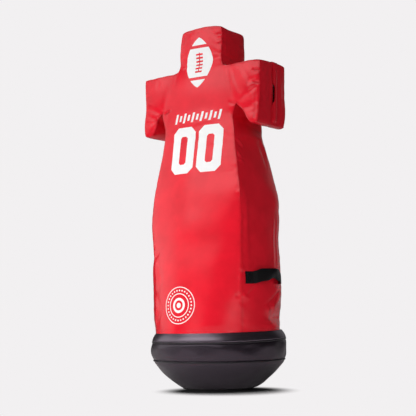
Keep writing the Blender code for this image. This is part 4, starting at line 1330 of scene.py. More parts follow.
@dataclass
class Cover:
    """The red cover: its panels, sewn seams, folds and hem."""

    shape: BodyShape
    finish: CoatedFabric
    wall: float = 0.0015
    seam_depth: float = 0.0008
    seam_width: float = 0.0030
    puff: float = 0.0022
    puff_reach: float = 0.030
    pucker: float = 0.0006
    pucker_away: float = 0.008
    pucker_width: float = 0.012
    pucker_waves: Pair = (0.045, 0.028)
    unevenness: float = 0.0012
    uneven_waves: Pair = (0.32, 0.18)
    hem_fade: float = 0.03
    seam_wear: float = 0.007
    crease: float = 1.0
    hem_margin: float = 0.0105
    # Folds deeper than this get painted shade along their creases; the next value sets how dark it is.
    sharp_fold: float = 0.0050
    painted_crease_shade: float = 1.8
    hold_anywhere: float = 0.10
    hold_seam: float = 0.5
    hold_width: float = 0.012
    hem_hold: float = 0.004
    zip_hold: float = 0.6
    zip_middle: float = 0.014
    zip_reach: float = 0.022
    zip_below: float = 0.02
    zip_inset: float = 0.004
    zip_fade: float = 0.01
    gather_width: float = 0.010
    hem_clearance: float = 0.005
    settling: Settling = field(default_factory=Settling)

    def pulls(self) -> list[Pull]:
        """Where the padding swells the body and where its seams draw it in."""
        rows = [(row, 1) for row in PULLS] + [(row, side) for side in (1, -1) for row in PAIRED_PULLS]
        return [Pull(metres(at, side), metres(reach), metres(move, side)) for (at, reach, move), side in rows]

    def folds(self) -> list[Fold]:
        """The soft creases and ridges that the photograph shows."""
        rows = [(row, 1) for row in ARM_FOLDS] + [(row, side) for side in (1, -1) for row in PAIRED_FOLDS]
        rows += [(row, 1) for row in (*HEAD_FOLDS, *SIDE_FOLDS, *SKIRT_FOLDS)]
        made = []
        for (depth, width, *line), side in rows:
            places = tuple(metres(place, side) for place in line)
            made.append(Fold(places, depth / MILLIMETRES, width / MILLIMETRES))
        return made

    def build(self) -> Mesh:
        """Make the finished skin: settled, subdivided, sewn down at its seams and creased.

        Returns:
            The skin, its panels marked by material index.
        """
        mesh = CoverShell(self.shape).build()
        points = coordinates(mesh)
        points += sum(pull.shift(points) for pull in self.pulls())
        put_points(mesh, points)
        seam = self.seam_points(mesh)
        away = self.distance(points, points[seam])
        hold = np.clip(self.hold_anywhere + self.hold_seam * bell(away, self.hold_width), 0, 1)
        hold[points[:, 2] < self.shape.hem_z + self.hem_hold] = 1.0
        hold[self.off_zip(points) < self.zip_hold] = 1.0
        self.settling.run(mesh, hold, bell(away, self.gather_width))
        self.mark_creases(mesh)
        made = new_object("cover", mesh)
        rounding = made.modifiers.new("smooth", "SUBSURF")
        rounding.levels = rounding.render_levels = 1
        rounding.uv_smooth = "NONE"
        fine = evaluated_mesh(made, "cover_fine")
        self.sew_down(fine)
        return fine

    def seam_points(self, mesh: Mesh) -> Array:
        """The vertices on a seam, where two panels meet."""
        panels: list[set[int]] = [set() for _ in mesh.vertices]
        slot = {Panel.ZIP_SLOT.index(): Panel.RIGHT_ARM_FRONT.index()}
        slot[Panel.RIGHT_ARM_BACK.index()] = Panel.RIGHT_ARM_FRONT.index()
        for face in mesh.polygons:
            mark = slot.get(face.material_index, face.material_index)
            for i in face.vertices:
                panels[i].add(mark)
        return np.array([i for i, found in enumerate(panels) if len(found) > 1])

    def distance(self, points: Array, seam: Array) -> Array:
        """How far each point is from the nearest seam point."""
        tree = search_tree(seam)
        return np.array([tree.find(p)[2] for p in points])

    def mark_creases(self, mesh: Mesh) -> None:
        """Keep the seams crisp when the skin is subdivided."""
        seam = set(self.seam_points(mesh).tolist())
        layer = mesh.attributes.new("crease_edge", "FLOAT", "EDGE")
        for edge in mesh.edges:
            if edge.vertices[0] in seam and edge.vertices[1] in seam:
                layer.data[edge.index].value = self.crease

    def sew_down(self, mesh: Mesh) -> None:
        """Sink the seams, let the panels stand proud between them, and draw the folds."""
        points, normals = coordinates(mesh), vertex_normals(mesh)
        seam = points[self.seam_points(mesh)]
        away = self.distance(points, seam)
        out = self.puff * (1 - np.exp(-away / self.puff_reach))
        out -= self.seam_depth * bell(away, self.seam_width)
        pucker = waves(points, self.pucker_waves, 11) * bell(away - self.pucker_away, self.pucker_width)
        out += self.pucker * pucker + self.unevenness * waves(points, self.uneven_waves, 5)
        for fold in self.folds():
            out += fold.shift(points)
        low = np.clip((points[:, 2] - self.shape.hem_z) / self.hem_fade, 0, 1)
        points += normals * (out * low * self.off_zip(points))[:, None]
        put_points(mesh, points)

    def off_zip(self, points: Array) -> Array:
        """A share that is 0 beside the zip in the right arm's strip and 1 elsewhere."""
        s, (x, y, z) = self.shape, points.T
        inside = np.clip((s.arm_half_depth - self.zip_inset - np.abs(y)) / self.zip_fade, 0, 1)
        on_arm = (x > s.armpit_x) & (z > s.arm_low_z - self.zip_below)
        return 1 - np.exp(-(((y - self.zip_middle) / self.zip_reach) ** 4)) * inside * on_arm

    def dress(self, mesh: Mesh) -> None:
        """Cut the skin into its panels and give each its thickness; the panels that stay above the flex
        follow the torso.
        """
        points = coordinates(mesh)
        away = self.distance(points, points[self.seam_points(mesh)])
        near = bell(away, self.seam_wear)
        # Painted shade: the deepest folds darken the cloth along their creases, on top of the darkening at
        # the seams.
        for fold in self.folds():
            if fold.depth > self.sharp_fold:
                near = np.maximum(near, self.painted_crease_shade * -fold.shift(points) / fold.depth)
        faces, flat = face_list(mesh), corner_uv(mesh)
        marks = np.array([p.material_index for p in mesh.polygons])
        corner_vertex = np.array([i for f in faces for i in f])
        corner_mark = np.repeat(marks, [len(f) for f in faces])
        pieces = 0
        for panel in Panel:
            if panel is Panel.ZIP_SLOT:
                continue
            chosen = corner_mark == panel.index()
            uv = np.zeros((len(points), 2))
            uv[corner_vertex[chosen]] = flat[chosen]
            whole = Sheet(points, faces, points * 0, uv, near).part(marks == panel.index()).own_normals()
            pieces += self.split_at_flex(panel, whole)
        LOG.info("cover: %d pieces", pieces)

    def split_at_flex(self, panel: Panel, cloth: Sheet) -> int:
        """Cut a panel at the flex height into its lower part and the rest, and count the pieces."""
        low, flex, top = self.shape.hem_z + self.hem_clearance, self.shape.flex_z, self.shape.flex_top_z
        middles = np.array([np.mean(cloth.points[list(f), 2]) for f in cloth.faces])
        made = []
        if middles.min() < flex:
            lower = cloth.part(middles < flex).walled(panel.value + "_hem", self.wall, self.finish)
            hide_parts("skirt_lower")
            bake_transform(lower)
            made.append(lower)
            upper = cloth.part(middles >= flex).walled(panel.value + "_cloth", self.wall, self.finish)
            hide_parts(panel.value, "skirt_upper")
            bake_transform(upper)
        else:
            upper = cloth.walled(panel.value + "_cloth", self.wall, self.finish)
            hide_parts(panel.value)
            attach(upper, "torso")
        made.append(upper)
        return len(made)

    def hem_stitches(self, surface: BVHTree) -> None:
        """The stitched line round the hem."""
        z = self.shape.hem_z + self.hem_margin
        row = []
        for x, y in circle(1.0, 300):
            way = Vector((x, y, 0.0))
            hit = surface.ray_cast(way + Vector((0, 0, z)), -way)[0]
            row.append(hit + way * THREAD_LIFT)
        thread = Stitching(RED_THREAD, length=0.0034, gap=0.0014, width=0.0009)
        made = thread.sew("hem_stitches", [row], closed=True)
        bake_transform(made)


# Geometry Nodes


class Tree(Wiring):
    """A Geometry Nodes tree with named inputs for its sizes."""

    def __init__(self, name: str) -> None:
        """Start a tree with one geometry input and one geometry output."""
        super().__init__(bpy.data.node_groups.new(name, "GeometryNodeTree"))
        self.names: dict[str, str] = {}
        for way in ("INPUT", "OUTPUT"):
            self.tree.interface.new_socket("Geometry", in_out=way, socket_type="NodeSocketGeometry")

    def begin(self, sizes: dict[str, float]) -> dict[str, Socket]:
        """Name the inputs for sizes, or for counts where they are whole, and place the input node.

        Args:
            sizes: each input's usual value by its name.

        Returns:
            The input node's sockets by name.
        """
        for name, value in sizes.items():
            kind = "NodeSocketInt" if isinstance(value, int) else "NodeSocketFloat"
            made = self.tree.interface.new_socket(name, in_out="INPUT", socket_type=kind)
            made.default_value = value
            self.names[name] = made.identifier
        entry = self.tree.nodes.new("NodeGroupInput")
        return {s.name: s for s in entry.outputs if s.name}

    def first(self, kind: str, fed: dict[str | int, object] | None = None, **settings: object) -> Socket:
        """A new node's first output."""
        return self.add(kind, fed, **settings).outputs[0]

    def math(self, operation: str, a: object, b: object = 0.0) -> Socket:
        """Two numbers put together by a plain operation."""
        return self.first("ShaderNodeMath", {0: a, 1: b}, operation=operation)

    def added(self, a: Socket, b: Socket) -> Socket:
        """Two vectors added."""
        return self.first("ShaderNodeVectorMath", {0: a, 1: b}, operation="ADD")

    def vector(self, x: object = 0.0, y: object = 0.0, z: object = 0.0) -> Socket:
        """A vector from three numbers."""
        return self.first("ShaderNodeCombineXYZ", {0: x, 1: y, 2: z})

    def times(self, a: object, b: object) -> Socket:
        """Two numbers multiplied."""
        return self.math("MULTIPLY", a, b)

    def least(self, a: object, b: object) -> Socket:
        """The smaller of two numbers."""
        return self.math("MINIMUM", a, b)

    def uneven(self, place: Socket, scale: float, detail: float) -> Socket:
        """A noise pattern's value at a place, to either side of 0."""
        noise = self.first("ShaderNodeTexNoise", {"Vector": place, "Scale": scale, "Detail": detail})
        return self.math("SUBTRACT", noise, 0.5)

    def laid_along(self, mesh: Socket, step: Socket, part: Socket, size: Socket) -> Socket:
        """Copies of a part along a mesh's lines, one at each step, turned to follow them."""
        line = self.first("GeometryNodeMeshToCurve", {"Mesh": mesh})
        steps = self.first("GeometryNodeResampleCurve", {"Curve": line, "Length": step}, mode="LENGTH")
        tangent = self.first("GeometryNodeInputTangent")
        turn = self.first("FunctionNodeAlignRotationToVector", {"Vector": tangent}, axis="X")
        inputs = {"Points": steps, "Instance": part, "Rotation": turn, "Scale": size}
        return self.first("GeometryNodeInstanceOnPoints", inputs)

    def end(self, geometry: Socket, material: bpy.types.Material) -> None:
        """Make the instances real, give them their material and place the output node."""
        real = self.first("GeometryNodeRealizeInstances", {"Geometry": geometry})
        dyed = self.first("GeometryNodeSetMaterial", {"Geometry": real, "Material": material})
        self.add("NodeGroupOutput", {0: dyed})

    def run(self, name: str, source: Mesh, **sizes: float) -> Object:
        """Run the tree on a mesh.

        Args:
            name: the new object's name.
            source: what the tree starts from.
            sizes: values for the named inputs, with underscores for spaces.

        Returns:
            An object with the finished plain mesh.
        """
        made = new_object("source", source)
        modifier = made.modifiers.new("tree", "NODES")
        modifier.node_group = self.tree
        for size, value in sizes.items():
            modifier[self.names[size.replace("_", " ")]] = value
        return new_object(name, evaluated_mesh(made, name))


def row_mesh(rows: Iterable[Sequence[Sequence[float]]], closed: bool = False) -> Mesh:
    """Lines of points as loose edges, one line for each row, which a tree follows."""
    points: list[Sequence[float]] = []
    edges = []
    for row in rows:
        start = len(points)
        points += list(row)
        edges += [(start + i, start + i + 1) for i in range(len(row) - 1)]
        if closed:
            edges.append((len(points) - 1, start))
    mesh = bpy.data.meshes.new("rows")
    mesh.from_pydata([tuple(p) for p in points], edges, [])
    return mesh


@dataclass
class Stitching:
    """Rows of stitches: short rounded dashes of thread laid end to end along a line."""

    finish: Stuff
    length: float = 0.0042
    gap: float = 0.0014
    width: float = 0.0010

    def tree(self) -> Tree:
        """Build the tree that lays one dash at each step along the source's lines."""
        t = Tree("stitches_" + self.finish.name)
        sizes = t.begin({"Stitch length": self.length, "Gap": self.gap, "Thread width": self.width})
        pitch = t.math("ADD", sizes["Stitch length"], sizes["Gap"])
        dash = t.first("GeometryNodeMeshUVSphere", {"Segments": 6, "Rings": 4, "Radius": 0.5})
        size = t.vector(sizes["Stitch length"], sizes["Thread width"], sizes["Thread width"])
        t.end(t.laid_along(sizes["Geometry"], pitch, dash, size), Dye.of(self.finish))
        return t

    def sew(self, name: str, rows: Iterable[Sequence[Sequence[float]]], closed: bool = False) -> Object:
        """Lay stitches along rows of points."""
        made = self.tree().run(name, row_mesh(rows, closed))
        made.data.shade_smooth()
        return made


# The base bag


@dataclass
class BaseBag:
    """The black bag at the foot: bowl, puffed side band, sloping collar and the corded seams."""

    hem_radius: float = 0.262
    radius: float = 0.284
    collar_drop: float = 0.0155
    band_puff: float = 0.005
    contact_radius: float = 0.150
    floor_z: float = 0.0043
    band_low_z: float = 0.119
    band_top_z: float = 0.196
    hem_z: float = 0.235
    bowl_bulge: float = 0.0085
    slump: Pair = (0.0040, 0.0026)
    seam_rise: float = 0.0090
    collar_tilt: float = 0.0045
    low_bulge: float = 0.0270
    piping_radius: float = 0.0035
    wall: float = 0.0015
    seam_share: float = 0.6
    collar_edge: float = 0.0022
    sole: float = 0.02
    middle: Triple = (0.0, 0.0, 0.12)
    firm_z: float = 0.08
    seam_reach: Pair = (0.043, 0.070)
    tilt_z: float = 0.008
    bulge_z: Pair = (0.010, 0.022)
    floor_radii: tuple[float, ...] = (0.0, 0.05, 0.10, 0.135)
    bowl_tuck: Pair = (0.004, 0.03)
    band_tuck: Pair = (0.0035, 0.06)
    collar_tuck: Pair = (0.0030, 0.06)
    collar_curve: float = 1.7
    collar_depth: float = 0.010
    cord_gap: float = 0.001
    dent_waves: Pair = (0.12, 0.075)
    fold_noise: Pair = (26.0, 2.0)
    sway_noise: Pair = (2.4, 1.0)
    sway_lift: float = 9.0
    pucker_gain: float = 6.0
    pucker_rise: float = 30.0
    sway_rise: float = 6.0
    axis_rise: float = 8.0
    cord_waves: Pair = (0.2, 0.12)
    top_stitches: tuple[Pair, Pair] = ((-0.0012, -0.0085), (-0.0016, 0.0080))
    low_stitches: tuple[Pair, Pair] = ((-0.0002, 0.0085), (-0.0075, -0.0100))
    seam_wear: float = 0.006
    flat_end: float = 0.02
    full_reach: float = 0.2
    cord_bumps: Pair = (0.05, 0.0004)
    steps: int = 256
    cover: CoatedFabric = BLACK
    collar: CoatedFabric = COLLAR_BLACK
    cord: CoatedFabric = PIPING

    def bowl_profile(self) -> list[Pair]:
        """The bowl's outer side from the flat floor up to its seam, as (radius, height) points."""
        top_z = self.band_low_z - self.piping_radius - self.cord_gap
        top = Vector((self.radius - self.band_puff - self.wall, top_z))
        foot = Vector((self.contact_radius + 2 * self.wall, self.floor_z))
        chord = foot - top
        outward = Vector((-chord.y, chord.x)).normalized()
        points = [(r, self.floor_z) for r in self.floor_radii]
        for t in reversed(shares(30)):
            rise = arc_rise((t - 0.5) * chord.length, chord.length / 2, self.bowl_bulge)
            place = top + chord * t + outward * (rise - self.tucked(self.bowl_tuck, t))
            points.append((place.x, place.y))
        return points

    def tucked(self, tuck: Pair, share: float) -> float:
        """How far a section draws in at a share of its length from a seam, by its depth and its fade."""
        depth, fade = tuck
        return depth * math.exp(-share / fade)

    def band_profile(self) -> list[Pair]:
        """The side band's section, tucked in at both seams and full between them."""
        low = self.band_low_z + self.piping_radius * self.seam_share
        top = self.band_top_z - self.piping_radius * self.seam_share
        points = []
        for t in shares(24):
            z = mix(low, top, t)
            lean = mix(self.band_puff, 0.0, t)
            puff = arc_rise(z - (top + low) / 2, (top - low) / 2, self.band_puff)
            tuck = self.tucked(self.band_tuck, t) + self.tucked(self.band_tuck, 1 - t)
            points.append((self.radius - self.wall - lean + puff - tuck, z))
        return points

    def collar_profile(self) -> list[Pair]:
        """The collar: up from its seam, over a rounded thick edge and down inside the cover's hem."""
        low, high = self.band_top_z + self.piping_radius * self.seam_share, self.hem_z - self.wall
        points = []
        for t in shares(18):
            drawn = self.collar_drop * t**self.collar_curve
            reach = self.radius - self.wall - drawn - self.tucked(self.collar_tuck, t)
            points.append((reach, mix(low, high, t)))
        middle = points[-1][0] - self.collar_edge
        for t in shares(6)[1:]:
            across, up = math.cos(math.pi * t), math.sin(math.pi * t)
            points.append((middle + self.collar_edge * across, high + self.collar_edge * up))
        points.append((middle - self.collar_edge, self.hem_z - self.collar_depth))
        return points

    def shell_tree(self, material: bpy.types.Material) -> Tree:
        """A tree that turns the source's line round the upright axis and puckers it at its ends."""
        t = Tree("turned_shell")
        puckers = {"Pucker depth": 0.0008, "Pucker width": 0.05, "Sway": 0.0012}
        sizes = t.begin({"Steps": self.steps, "Rows": 40, **puckers})
        line = t.first("GeometryNodeMeshToCurve", {"Mesh": sizes["Geometry"]})
        around = t.math("ADD", sizes["Steps"], 1)
        inputs = {"Size X": 1.0, "Size Y": 1.0, "Vertices X": around, "Vertices Y": sizes["Rows"]}
        grid = t.first("GeometryNodeMeshGrid", inputs)
        at = t.add("ShaderNodeSeparateXYZ", {0: t.first("GeometryNodeInputPosition")}).outputs
        along = t.least(t.math("MAXIMUM", t.math("ADD", at[1], 0.5), 0.0), 1.0)
        angle = t.times(at[0], 2 * math.pi)
        sampled = t.add("GeometryNodeSampleCurve", {"Curves": line, "Factor": along}, mode="FACTOR")
        profile = t.add("ShaderNodeSeparateXYZ", {0: sampled.outputs["Position"]}).outputs
        radius, height = profile[0], profile[2]
        way = t.vector(t.math("COSINE", angle), t.math("SINE", angle), 0.0)
        lift = t.vector(0.0, 0.0, t.times(height, self.sway_lift))
        fold, sway = t.uneven(way, *self.fold_noise), t.uneven(t.added(way, lift), *self.sway_noise)
        end = t.least(along, t.math("SUBTRACT", 1.0, along))
        near = t.times(t.math("DIVIDE", end, sizes["Pucker width"]), -1.0)
        near = t.times(t.math("EXPONENT", near), t.least(t.times(end, self.pucker_rise), 1.0))
        puckered = t.times(t.times(fold, near), t.times(sizes["Pucker depth"], self.pucker_gain))
        swayed = t.times(t.times(sway, t.least(t.times(end, self.sway_rise), 1.0)), sizes["Sway"])
        off_axis = t.least(t.times(radius, self.axis_rise), 1.0)
        reach = t.math("ADD", radius, t.times(t.math("ADD", puckered, swayed), off_axis))
        flat = t.first("ShaderNodeVectorMath", {0: way, "Scale": reach}, operation="SCALE")
        place = t.added(flat, t.vector(0.0, 0.0, height))
        moved = t.first("GeometryNodeSetPosition", {"Geometry": grid, "Position": place})
        closed = t.first("GeometryNodeMergeByDistance", {"Geometry": moved, "Distance": WELD})
        t.end(closed, material)
        return t

    def turned(
        self, name: str, profile: list[Pair], finish: CoatedFabric, rows: int, dent: float, **sizes: float
    ) -> Object:
        """A piece of the bag turned from its section, with its thickness and seam wear.

        Args:
            name: the piece's name.
            profile: (radius, height) points.
            finish: its fabric.
            rows: how many rings the tree makes of the section.
            dent: how deep its soft dents are.
            sizes: the tree's other named inputs.

        Returns:
            The piece.
        """
        line = row_mesh([[(r, 0.0, z) for r, z in profile]])
        raw = self.shell_tree(Dye.of(finish)).run(name, line, Rows=rows, **sizes)
        points, faces = coordinates(raw.data), face_list(raw.data)
        bpy.data.objects.remove(raw)
        reach = np.hypot(points[:, 0], points[:, 1])
        ends = np.array([p for p in profile if p[0] > self.sole])[[0, -1]]
        if profile[0][0] == 0:
            ends = ends[1:]
        apart = np.min([np.hypot(reach - r, points[:, 2] - z) for r, z in ends], axis=0)
        around = np.arctan2(points[:, 1], points[:, 0]) * self.radius
        uv = np.column_stack([around, points[:, 2] + reach * 0.5])
        dents = dent * waves(points, self.dent_waves, 21) * np.clip(apart / self.flat_end, 0, 1)
        points[:, :2] *= (1 + dents * np.clip(reach / self.full_reach, 0, 1) / self.radius)[:, None]
        cloth = Sheet.of(self.slumped(points), faces, uv, bell(apart, self.seam_wear))
        if np.sum(cloth.normals * (cloth.points - self.middle)) < 0:
            cloth = cloth.turned_over()
        made = cloth.walled(name, self.wall, finish)
        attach(made, "base")
        return made

    def slumped(self, points: Array) -> Array:
        """The bag's points where the soft bag settles: a little to one side, its top seam higher there."""
        moved = np.array(points, float)
        z = moved[:, 2]
        rise = np.clip(z / self.firm_z, 0, 1)
        rise = rise * rise * (3 - 2 * rise)
        way = np.array(self.slump) / math.hypot(*self.slump)
        aside = np.clip((moved[:, :2] @ way) / self.radius, 0, 1)
        off_seam = np.abs(z - self.band_top_z)
        near = np.clip(1 - off_seam / self.seam_reach[0], 0, 1)
        low = np.clip(1 - off_seam / self.seam_reach[1], 0, 1) * (z < self.band_top_z)
        moved[:, :2] += rise[:, None] * self.slump
        moved[:, 2] += self.seam_rise * aside**2 * np.maximum(near, low)
        across = np.clip((moved[:, :2] @ way) / self.radius, -1, 1)
        foot = self.band_top_z + self.tilt_z
        high = np.clip((z - foot) / (self.hem_z - foot), 0, 1)
        moved[:, 2] += self.collar_tilt * high * np.where(across > 0, across, 0.5 * across)
        bulge = self.low_bulge * aside**2 * bell(z - self.bulge_z[0], self.bulge_z[1])
        moved[:, :2] += way * bulge[:, None]
        return moved

    def piping(self, name: str, radius: float, z: float) -> None:
        """A covered cord round the bag."""
        turns, around = self.steps, 12
        ways = circle(1.0, turns)
        bumps = waves(np.array([(x, y, z) for x, y in ways]), self.cord_waves, 3)
        points, uv = [], []
        for i, (x, y) in enumerate(ways):
            thick = self.piping_radius * (1 + self.cord_bumps[0] * bumps[i])
            middle = z + self.cord_bumps[1] * bumps[i]
            for j, (out, up) in enumerate(circle(thick, around)):
                reach = radius + out
                points.append((reach * x, reach * y, middle + up))
                uv.append((2 * math.pi * radius * i / turns, 2 * math.pi * thick * j / around))
        faces = []
        for i in range(turns):
            a, b = i * around, (i + 1) % turns * around
            for j in range(around):
                k = (j + 1) % around
                faces.append((a + j, b + j, b + k, a + k))
        mesh = mesh_from(name, self.slumped(np.array(points)), faces)
        layer = mesh.uv_layers.new(name="cloth")
        for loop in mesh.loops:
            layer.data[loop.index].uv = uv[loop.vertex_index]
        made = shade(new_object(name, mesh), Dye.of(self.cord))
        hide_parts(name)
        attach(made, "base")

    def stitches(self) -> None:
        """The stitched lines beside the corded seams and along the collar's edge."""
        seams = ((self.radius, self.band_top_z), (self.radius - self.band_puff, self.band_low_z))
        rows = []
        for lines in zip(self.top_stitches, self.low_stitches):
            for (radius, z), (out, up) in zip(seams, lines):
                row = [(x, y, z + up) for x, y in circle(radius + out, 240)]
                rows.append(self.slumped(np.array(row)))
        made = Stitching(BLACK_THREAD).sew("base_stitches", rows, closed=True)
        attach(made, "base")

    def build(self) -> None:
        """Make every piece of the bag."""
        sizes = {"Pucker_depth": 0.0007, "Sway": 0.0030}
        bowl = self.turned("bowl_bag", self.bowl_profile(), self.cover, 44, 0.0014, **sizes)
        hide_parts("bowl_cover")
        sizes = {"Pucker_depth": 0.0009, "Sway": 0.0016}
        band = self.turned("side_band_bag", self.band_profile(), self.cover, 25, 0.0019, **sizes)
        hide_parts("side_band_cover")
        sizes = {"Pucker_depth": 0.0002, "Sway": 0.0005}
        collar = self.turned("collar_bag", self.collar_profile(), self.collar, 34, 0.0002, **sizes)
        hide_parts("collar_cover")
        self.piping("upper_piping", self.radius - self.piping_radius, self.band_top_z)
        self.piping("lower_piping", self.radius - self.band_puff - self.piping_radius, self.band_low_z)
        self.stitches()
        LOG.info("base bag: 6 pieces")


# Prints


@dataclass
class Prints:
    """The white prints on the front: a number, a row of bars, a ball and a round badge."""

    surface: BVHTree
    flex_z: float = 0.330
    hem_z: float = 0.235
    flex_top_z: float = 0.427
    cell: float = 0.008
    proud: float = 0.00035
    ink: Stuff = INK
    number_z: Pair = (0.897, 1.099)
    digit_width: float = 0.117
    digit_gap: float = 0.017
    digit_stroke: float = 0.040
    digit_cut: float = 0.024
    inner_cut: float = 0.35
    number_shift: float = 0.003
    bars_z: Pair = (1.119, 1.160)
    bars_x: Pair = (-0.111, 0.107)
    bar_count: int = 11
    bar_lean: float = 0.010
    bar_width: float = 0.0105
    bar_inset: float = 0.008
    ball_middle: Pair = (-0.004, 1.376)
    ball_half: Pair = (0.066, 0.110)
    ball_powers: Pair = (1.9, 0.82)
    ball_bands: tuple[Pair, ...] = ((-0.995, -0.70), (0.70, 0.995), (-0.58, -0.40), (0.40, 0.58))
    lace_share: float = 0.40
    band_height: float = 0.004
    seam: float = 0.0050
    lace_step: float = 0.0075
    lace_gap: float = 0.0145
    badge_middle: Pair = (-0.020, 0.348)
    badge_radius: float = 0.0760
    badge_rings: tuple[Pair, ...] = ((0.955, 1.0), (0.60, 0.645), (0.27, 0.40))
    badge_dot: Pair = (0.0002, 0.14)
    dot_count: int = 28
    dot_ring: float = 0.80
    dot_size: float = 0.045

    def ring(self, middle: Pair, inner: Sequence[Pair], outer: Sequence[Pair]) -> list[list[Pair]]:
        """The quads between two loops of as many points."""
        x, z = middle
        near, far = ([(x + a, z + b) for a, b in loop] for loop in (inner, outer))
        return [list(quad) for quad in zip(near, far, far[1:] + far[:1], near[1:] + near[:1])]

    def number(self) -> list[list[Pair]]:
        """Two plain block noughts with cut corners."""
        low, top = self.number_z
        half_h, half_w, stroke = (top - low) / 2, self.digit_width / 2, self.digit_stroke
        quads = []
        for side in (-1, 1):
            middle = (side * (self.digit_width + self.digit_gap) / 2 + self.number_shift, (low + top) / 2)
            outer = self.octagon(half_w, half_h, self.digit_cut)
            inner = self.octagon(half_w - stroke, half_h - stroke, self.digit_cut * self.inner_cut)
            quads += self.ring(middle, inner, outer)
        return quads

    def octagon(self, w: float, h: float, cut: float) -> list[Pair]:
        """A box with cut corners."""
        right = [(w, -h + cut), (w, h - cut), (w - cut, h)]
        return [*right, *((-x, z) for x, z in reversed(right)), (-w + cut, -h), (w - cut, -h)]

    def bars(self) -> list[list[Pair]]:
        """A row of slanted bars, long and short in turn."""
        low, top = self.bars_z
        half = self.bar_width / 2
        quads = []
        for i, t in enumerate(shares(self.bar_count - 1)):
            x = mix(*self.bars_x, t)
            inset = self.bar_inset * (i % 2)
            a, b = low + inset, top - inset
            share = self.bar_lean * (b - a) / (top - low) / 2
            foot, head = x - share, x + share
            quads.append([(foot - half, a), (foot + half, a), (head + half, b), (head - half, b)])
        return quads

    def lens_half(self, z: float) -> float:
        """The ball's half width at a height from its middle."""
        w, h = self.ball_half
        point, belly = self.ball_powers
        return w * max(0.0, 1 - abs(z / h) ** point) ** belly

    def lens_band(self, low: float, top: float) -> list[list[Pair]]:
        """The part of the ball between two heights, in thin bands."""
        x, z = self.ball_middle
        rows = np.linspace(low, top, max(2, math.ceil((top - low) / self.band_height) + 1))
        quads = []
        for a, b in zip(rows, rows[1:]):
            wa, wb = (max(0.0004, self.lens_half(v)) for v in (a, b))
            quads.append([(x - wa, z + a), (x + wa, z + a), (x + wb, z + b), (x - wb, z + b)])
        return quads

    def ball(self) -> list[list[Pair]]:
        """A ball seen from its side: two striped ends and a middle with a laced seam."""
        h = self.ball_half[1]
        x, z = self.ball_middle
        quads = []
        for low, top in self.ball_bands:
            quads += self.lens_band(h * low, h * top)
        lace_half = h * self.lace_share
        rows = np.linspace(-lace_half, lace_half, 24)
        for a, b in zip(rows, rows[1:]):
            for side in (-1, 1):
                gap = 0.0 if int((a + lace_half) / self.lace_step) % 2 else self.lace_gap
                inner = x + side * (self.seam / 2 + gap)
                wa, wb = (x + side * self.lens_half(v) for v in (a, b))
                quad = [(inner, z + a), (wa, z + a), (wb, z + b), (inner, z + b)]
                quads.append(quad if side > 0 else quad[::-1])
        return quads

    def badge(self) -> list[list[Pair]]:
        """A round badge: a thin outer ring, an inner ring and a target in the middle."""
        r = self.badge_radius
        rings = [(r * inner, r * outer) for inner, outer in self.badge_rings]
        rings.append((self.badge_dot[0], r * self.badge_dot[1]))
        loops = ([circle(radius, 96) for radius in ring] for ring in rings)
        return [quad for inner, outer in loops for quad in self.ring(self.badge_middle, inner, outer)]

    def dots(self) -> list[list[Pair]]:
        """The badge's ring of dots, laid by a tree and read back as flat quads."""
        t = Tree("badge_dots")
        r = self.badge_radius
        usual = (r * self.dot_ring, self.dot_count, r * self.dot_size)
        sizes = t.begin(dict(zip(("Ring radius", "Dots", "Dot radius"), usual)))
        inputs = {"Vertices": sizes["Dots"], "Radius": sizes["Ring radius"]}
        ring = t.first("GeometryNodeMeshCircle", inputs)
        inputs = {"Vertices": 10, "Radius": sizes["Dot radius"]}
        dot = t.first("GeometryNodeMeshCircle", inputs, fill_type="NGON")
        laid = t.first("GeometryNodeInstanceOnPoints", {"Points": ring, "Instance": dot})
        t.end(laid, Dye.of(self.ink))
        made = t.run("dots", bpy.data.meshes.new("nothing"))
        x, z = self.badge_middle
        points = coordinates(made.data) + (x, z, 0.0)
        loops = [[tuple(points[i, :2]) for i in face] for face in face_list(made.data)]
        bpy.data.objects.remove(made)
        return loops

    def cut(self, bm: bmesh.types.BMesh, place: Sequence[float], way: Sequence[float], **clear: bool) -> None:
        """Cut all faces along a plane, and clear away what lies on a side of it if that is asked."""
        parts = bm.verts[:] + bm.edges[:] + bm.faces[:]
        bmesh.ops.bisect_plane(bm, geom=parts, plane_co=place, plane_no=way, **clear)

    def laid(self, name: str, quads: list[list[Pair]], low: float = -1.0, top: float = 9.0) -> Object:
        """Lay flat shapes on the front as a thin film.

        Args:
            name: the print's name.
            quads: its shapes in (x, height) pairs.
            low: nothing is kept below this height.
            top: nothing is kept above this height.

        Returns:
            The print.
        """
        bm = bmesh.new()
        for quad in quads:
            bm.faces.new([bm.verts.new((x, 0.0, z)) for x, z in quad])
        bmesh.ops.remove_doubles(bm, verts=bm.verts, dist=WELD)
        span = [f(v.co[a] for v in bm.verts) for a in (0, 2) for f in (min, max)]
        for way, start, end in ((Vector((1, 0, 0)), *span[:2]), (Vector((0, 0, 1)), *span[2:])):
            for k in range(math.ceil(start / self.cell), math.floor(end / self.cell) + 1):
                self.cut(bm, way * (k * self.cell), way)
        for height, outer in ((low, False), (top, True)):
            if span[2] < height < span[3]:
                self.cut(bm, (0, 0, height), (0, 0, 1), clear_outer=outer, clear_inner=not outer)
        points, normals = [], []
        for vert in bm.verts:
            hit, normal, _, _ = self.surface.ray_cast(Vector((vert.co.x, -1.0, vert.co.z)), Vector((0, 1, 0)))
            points.append(hit + normal * self.proud)
            normals.append(normal)
        bm.verts.index_update()
        faces = [tuple(v.index for v in f.verts) for f in bm.faces]
        flat = np.array([(v.co.x, v.co.z) for v in bm.verts])
        bm.free()
        points, normals = np.array(points), np.array(normals)
        a, b, c = points[list(faces[0][:3])]
        if np.cross(b - a, c - a)[1] > 0:
            faces = [f[::-1] for f in faces]
        film = Sheet(points, faces, normals, flat, np.zeros(len(points)))
        return film.walled(name, self.proud * 2, self.ink)

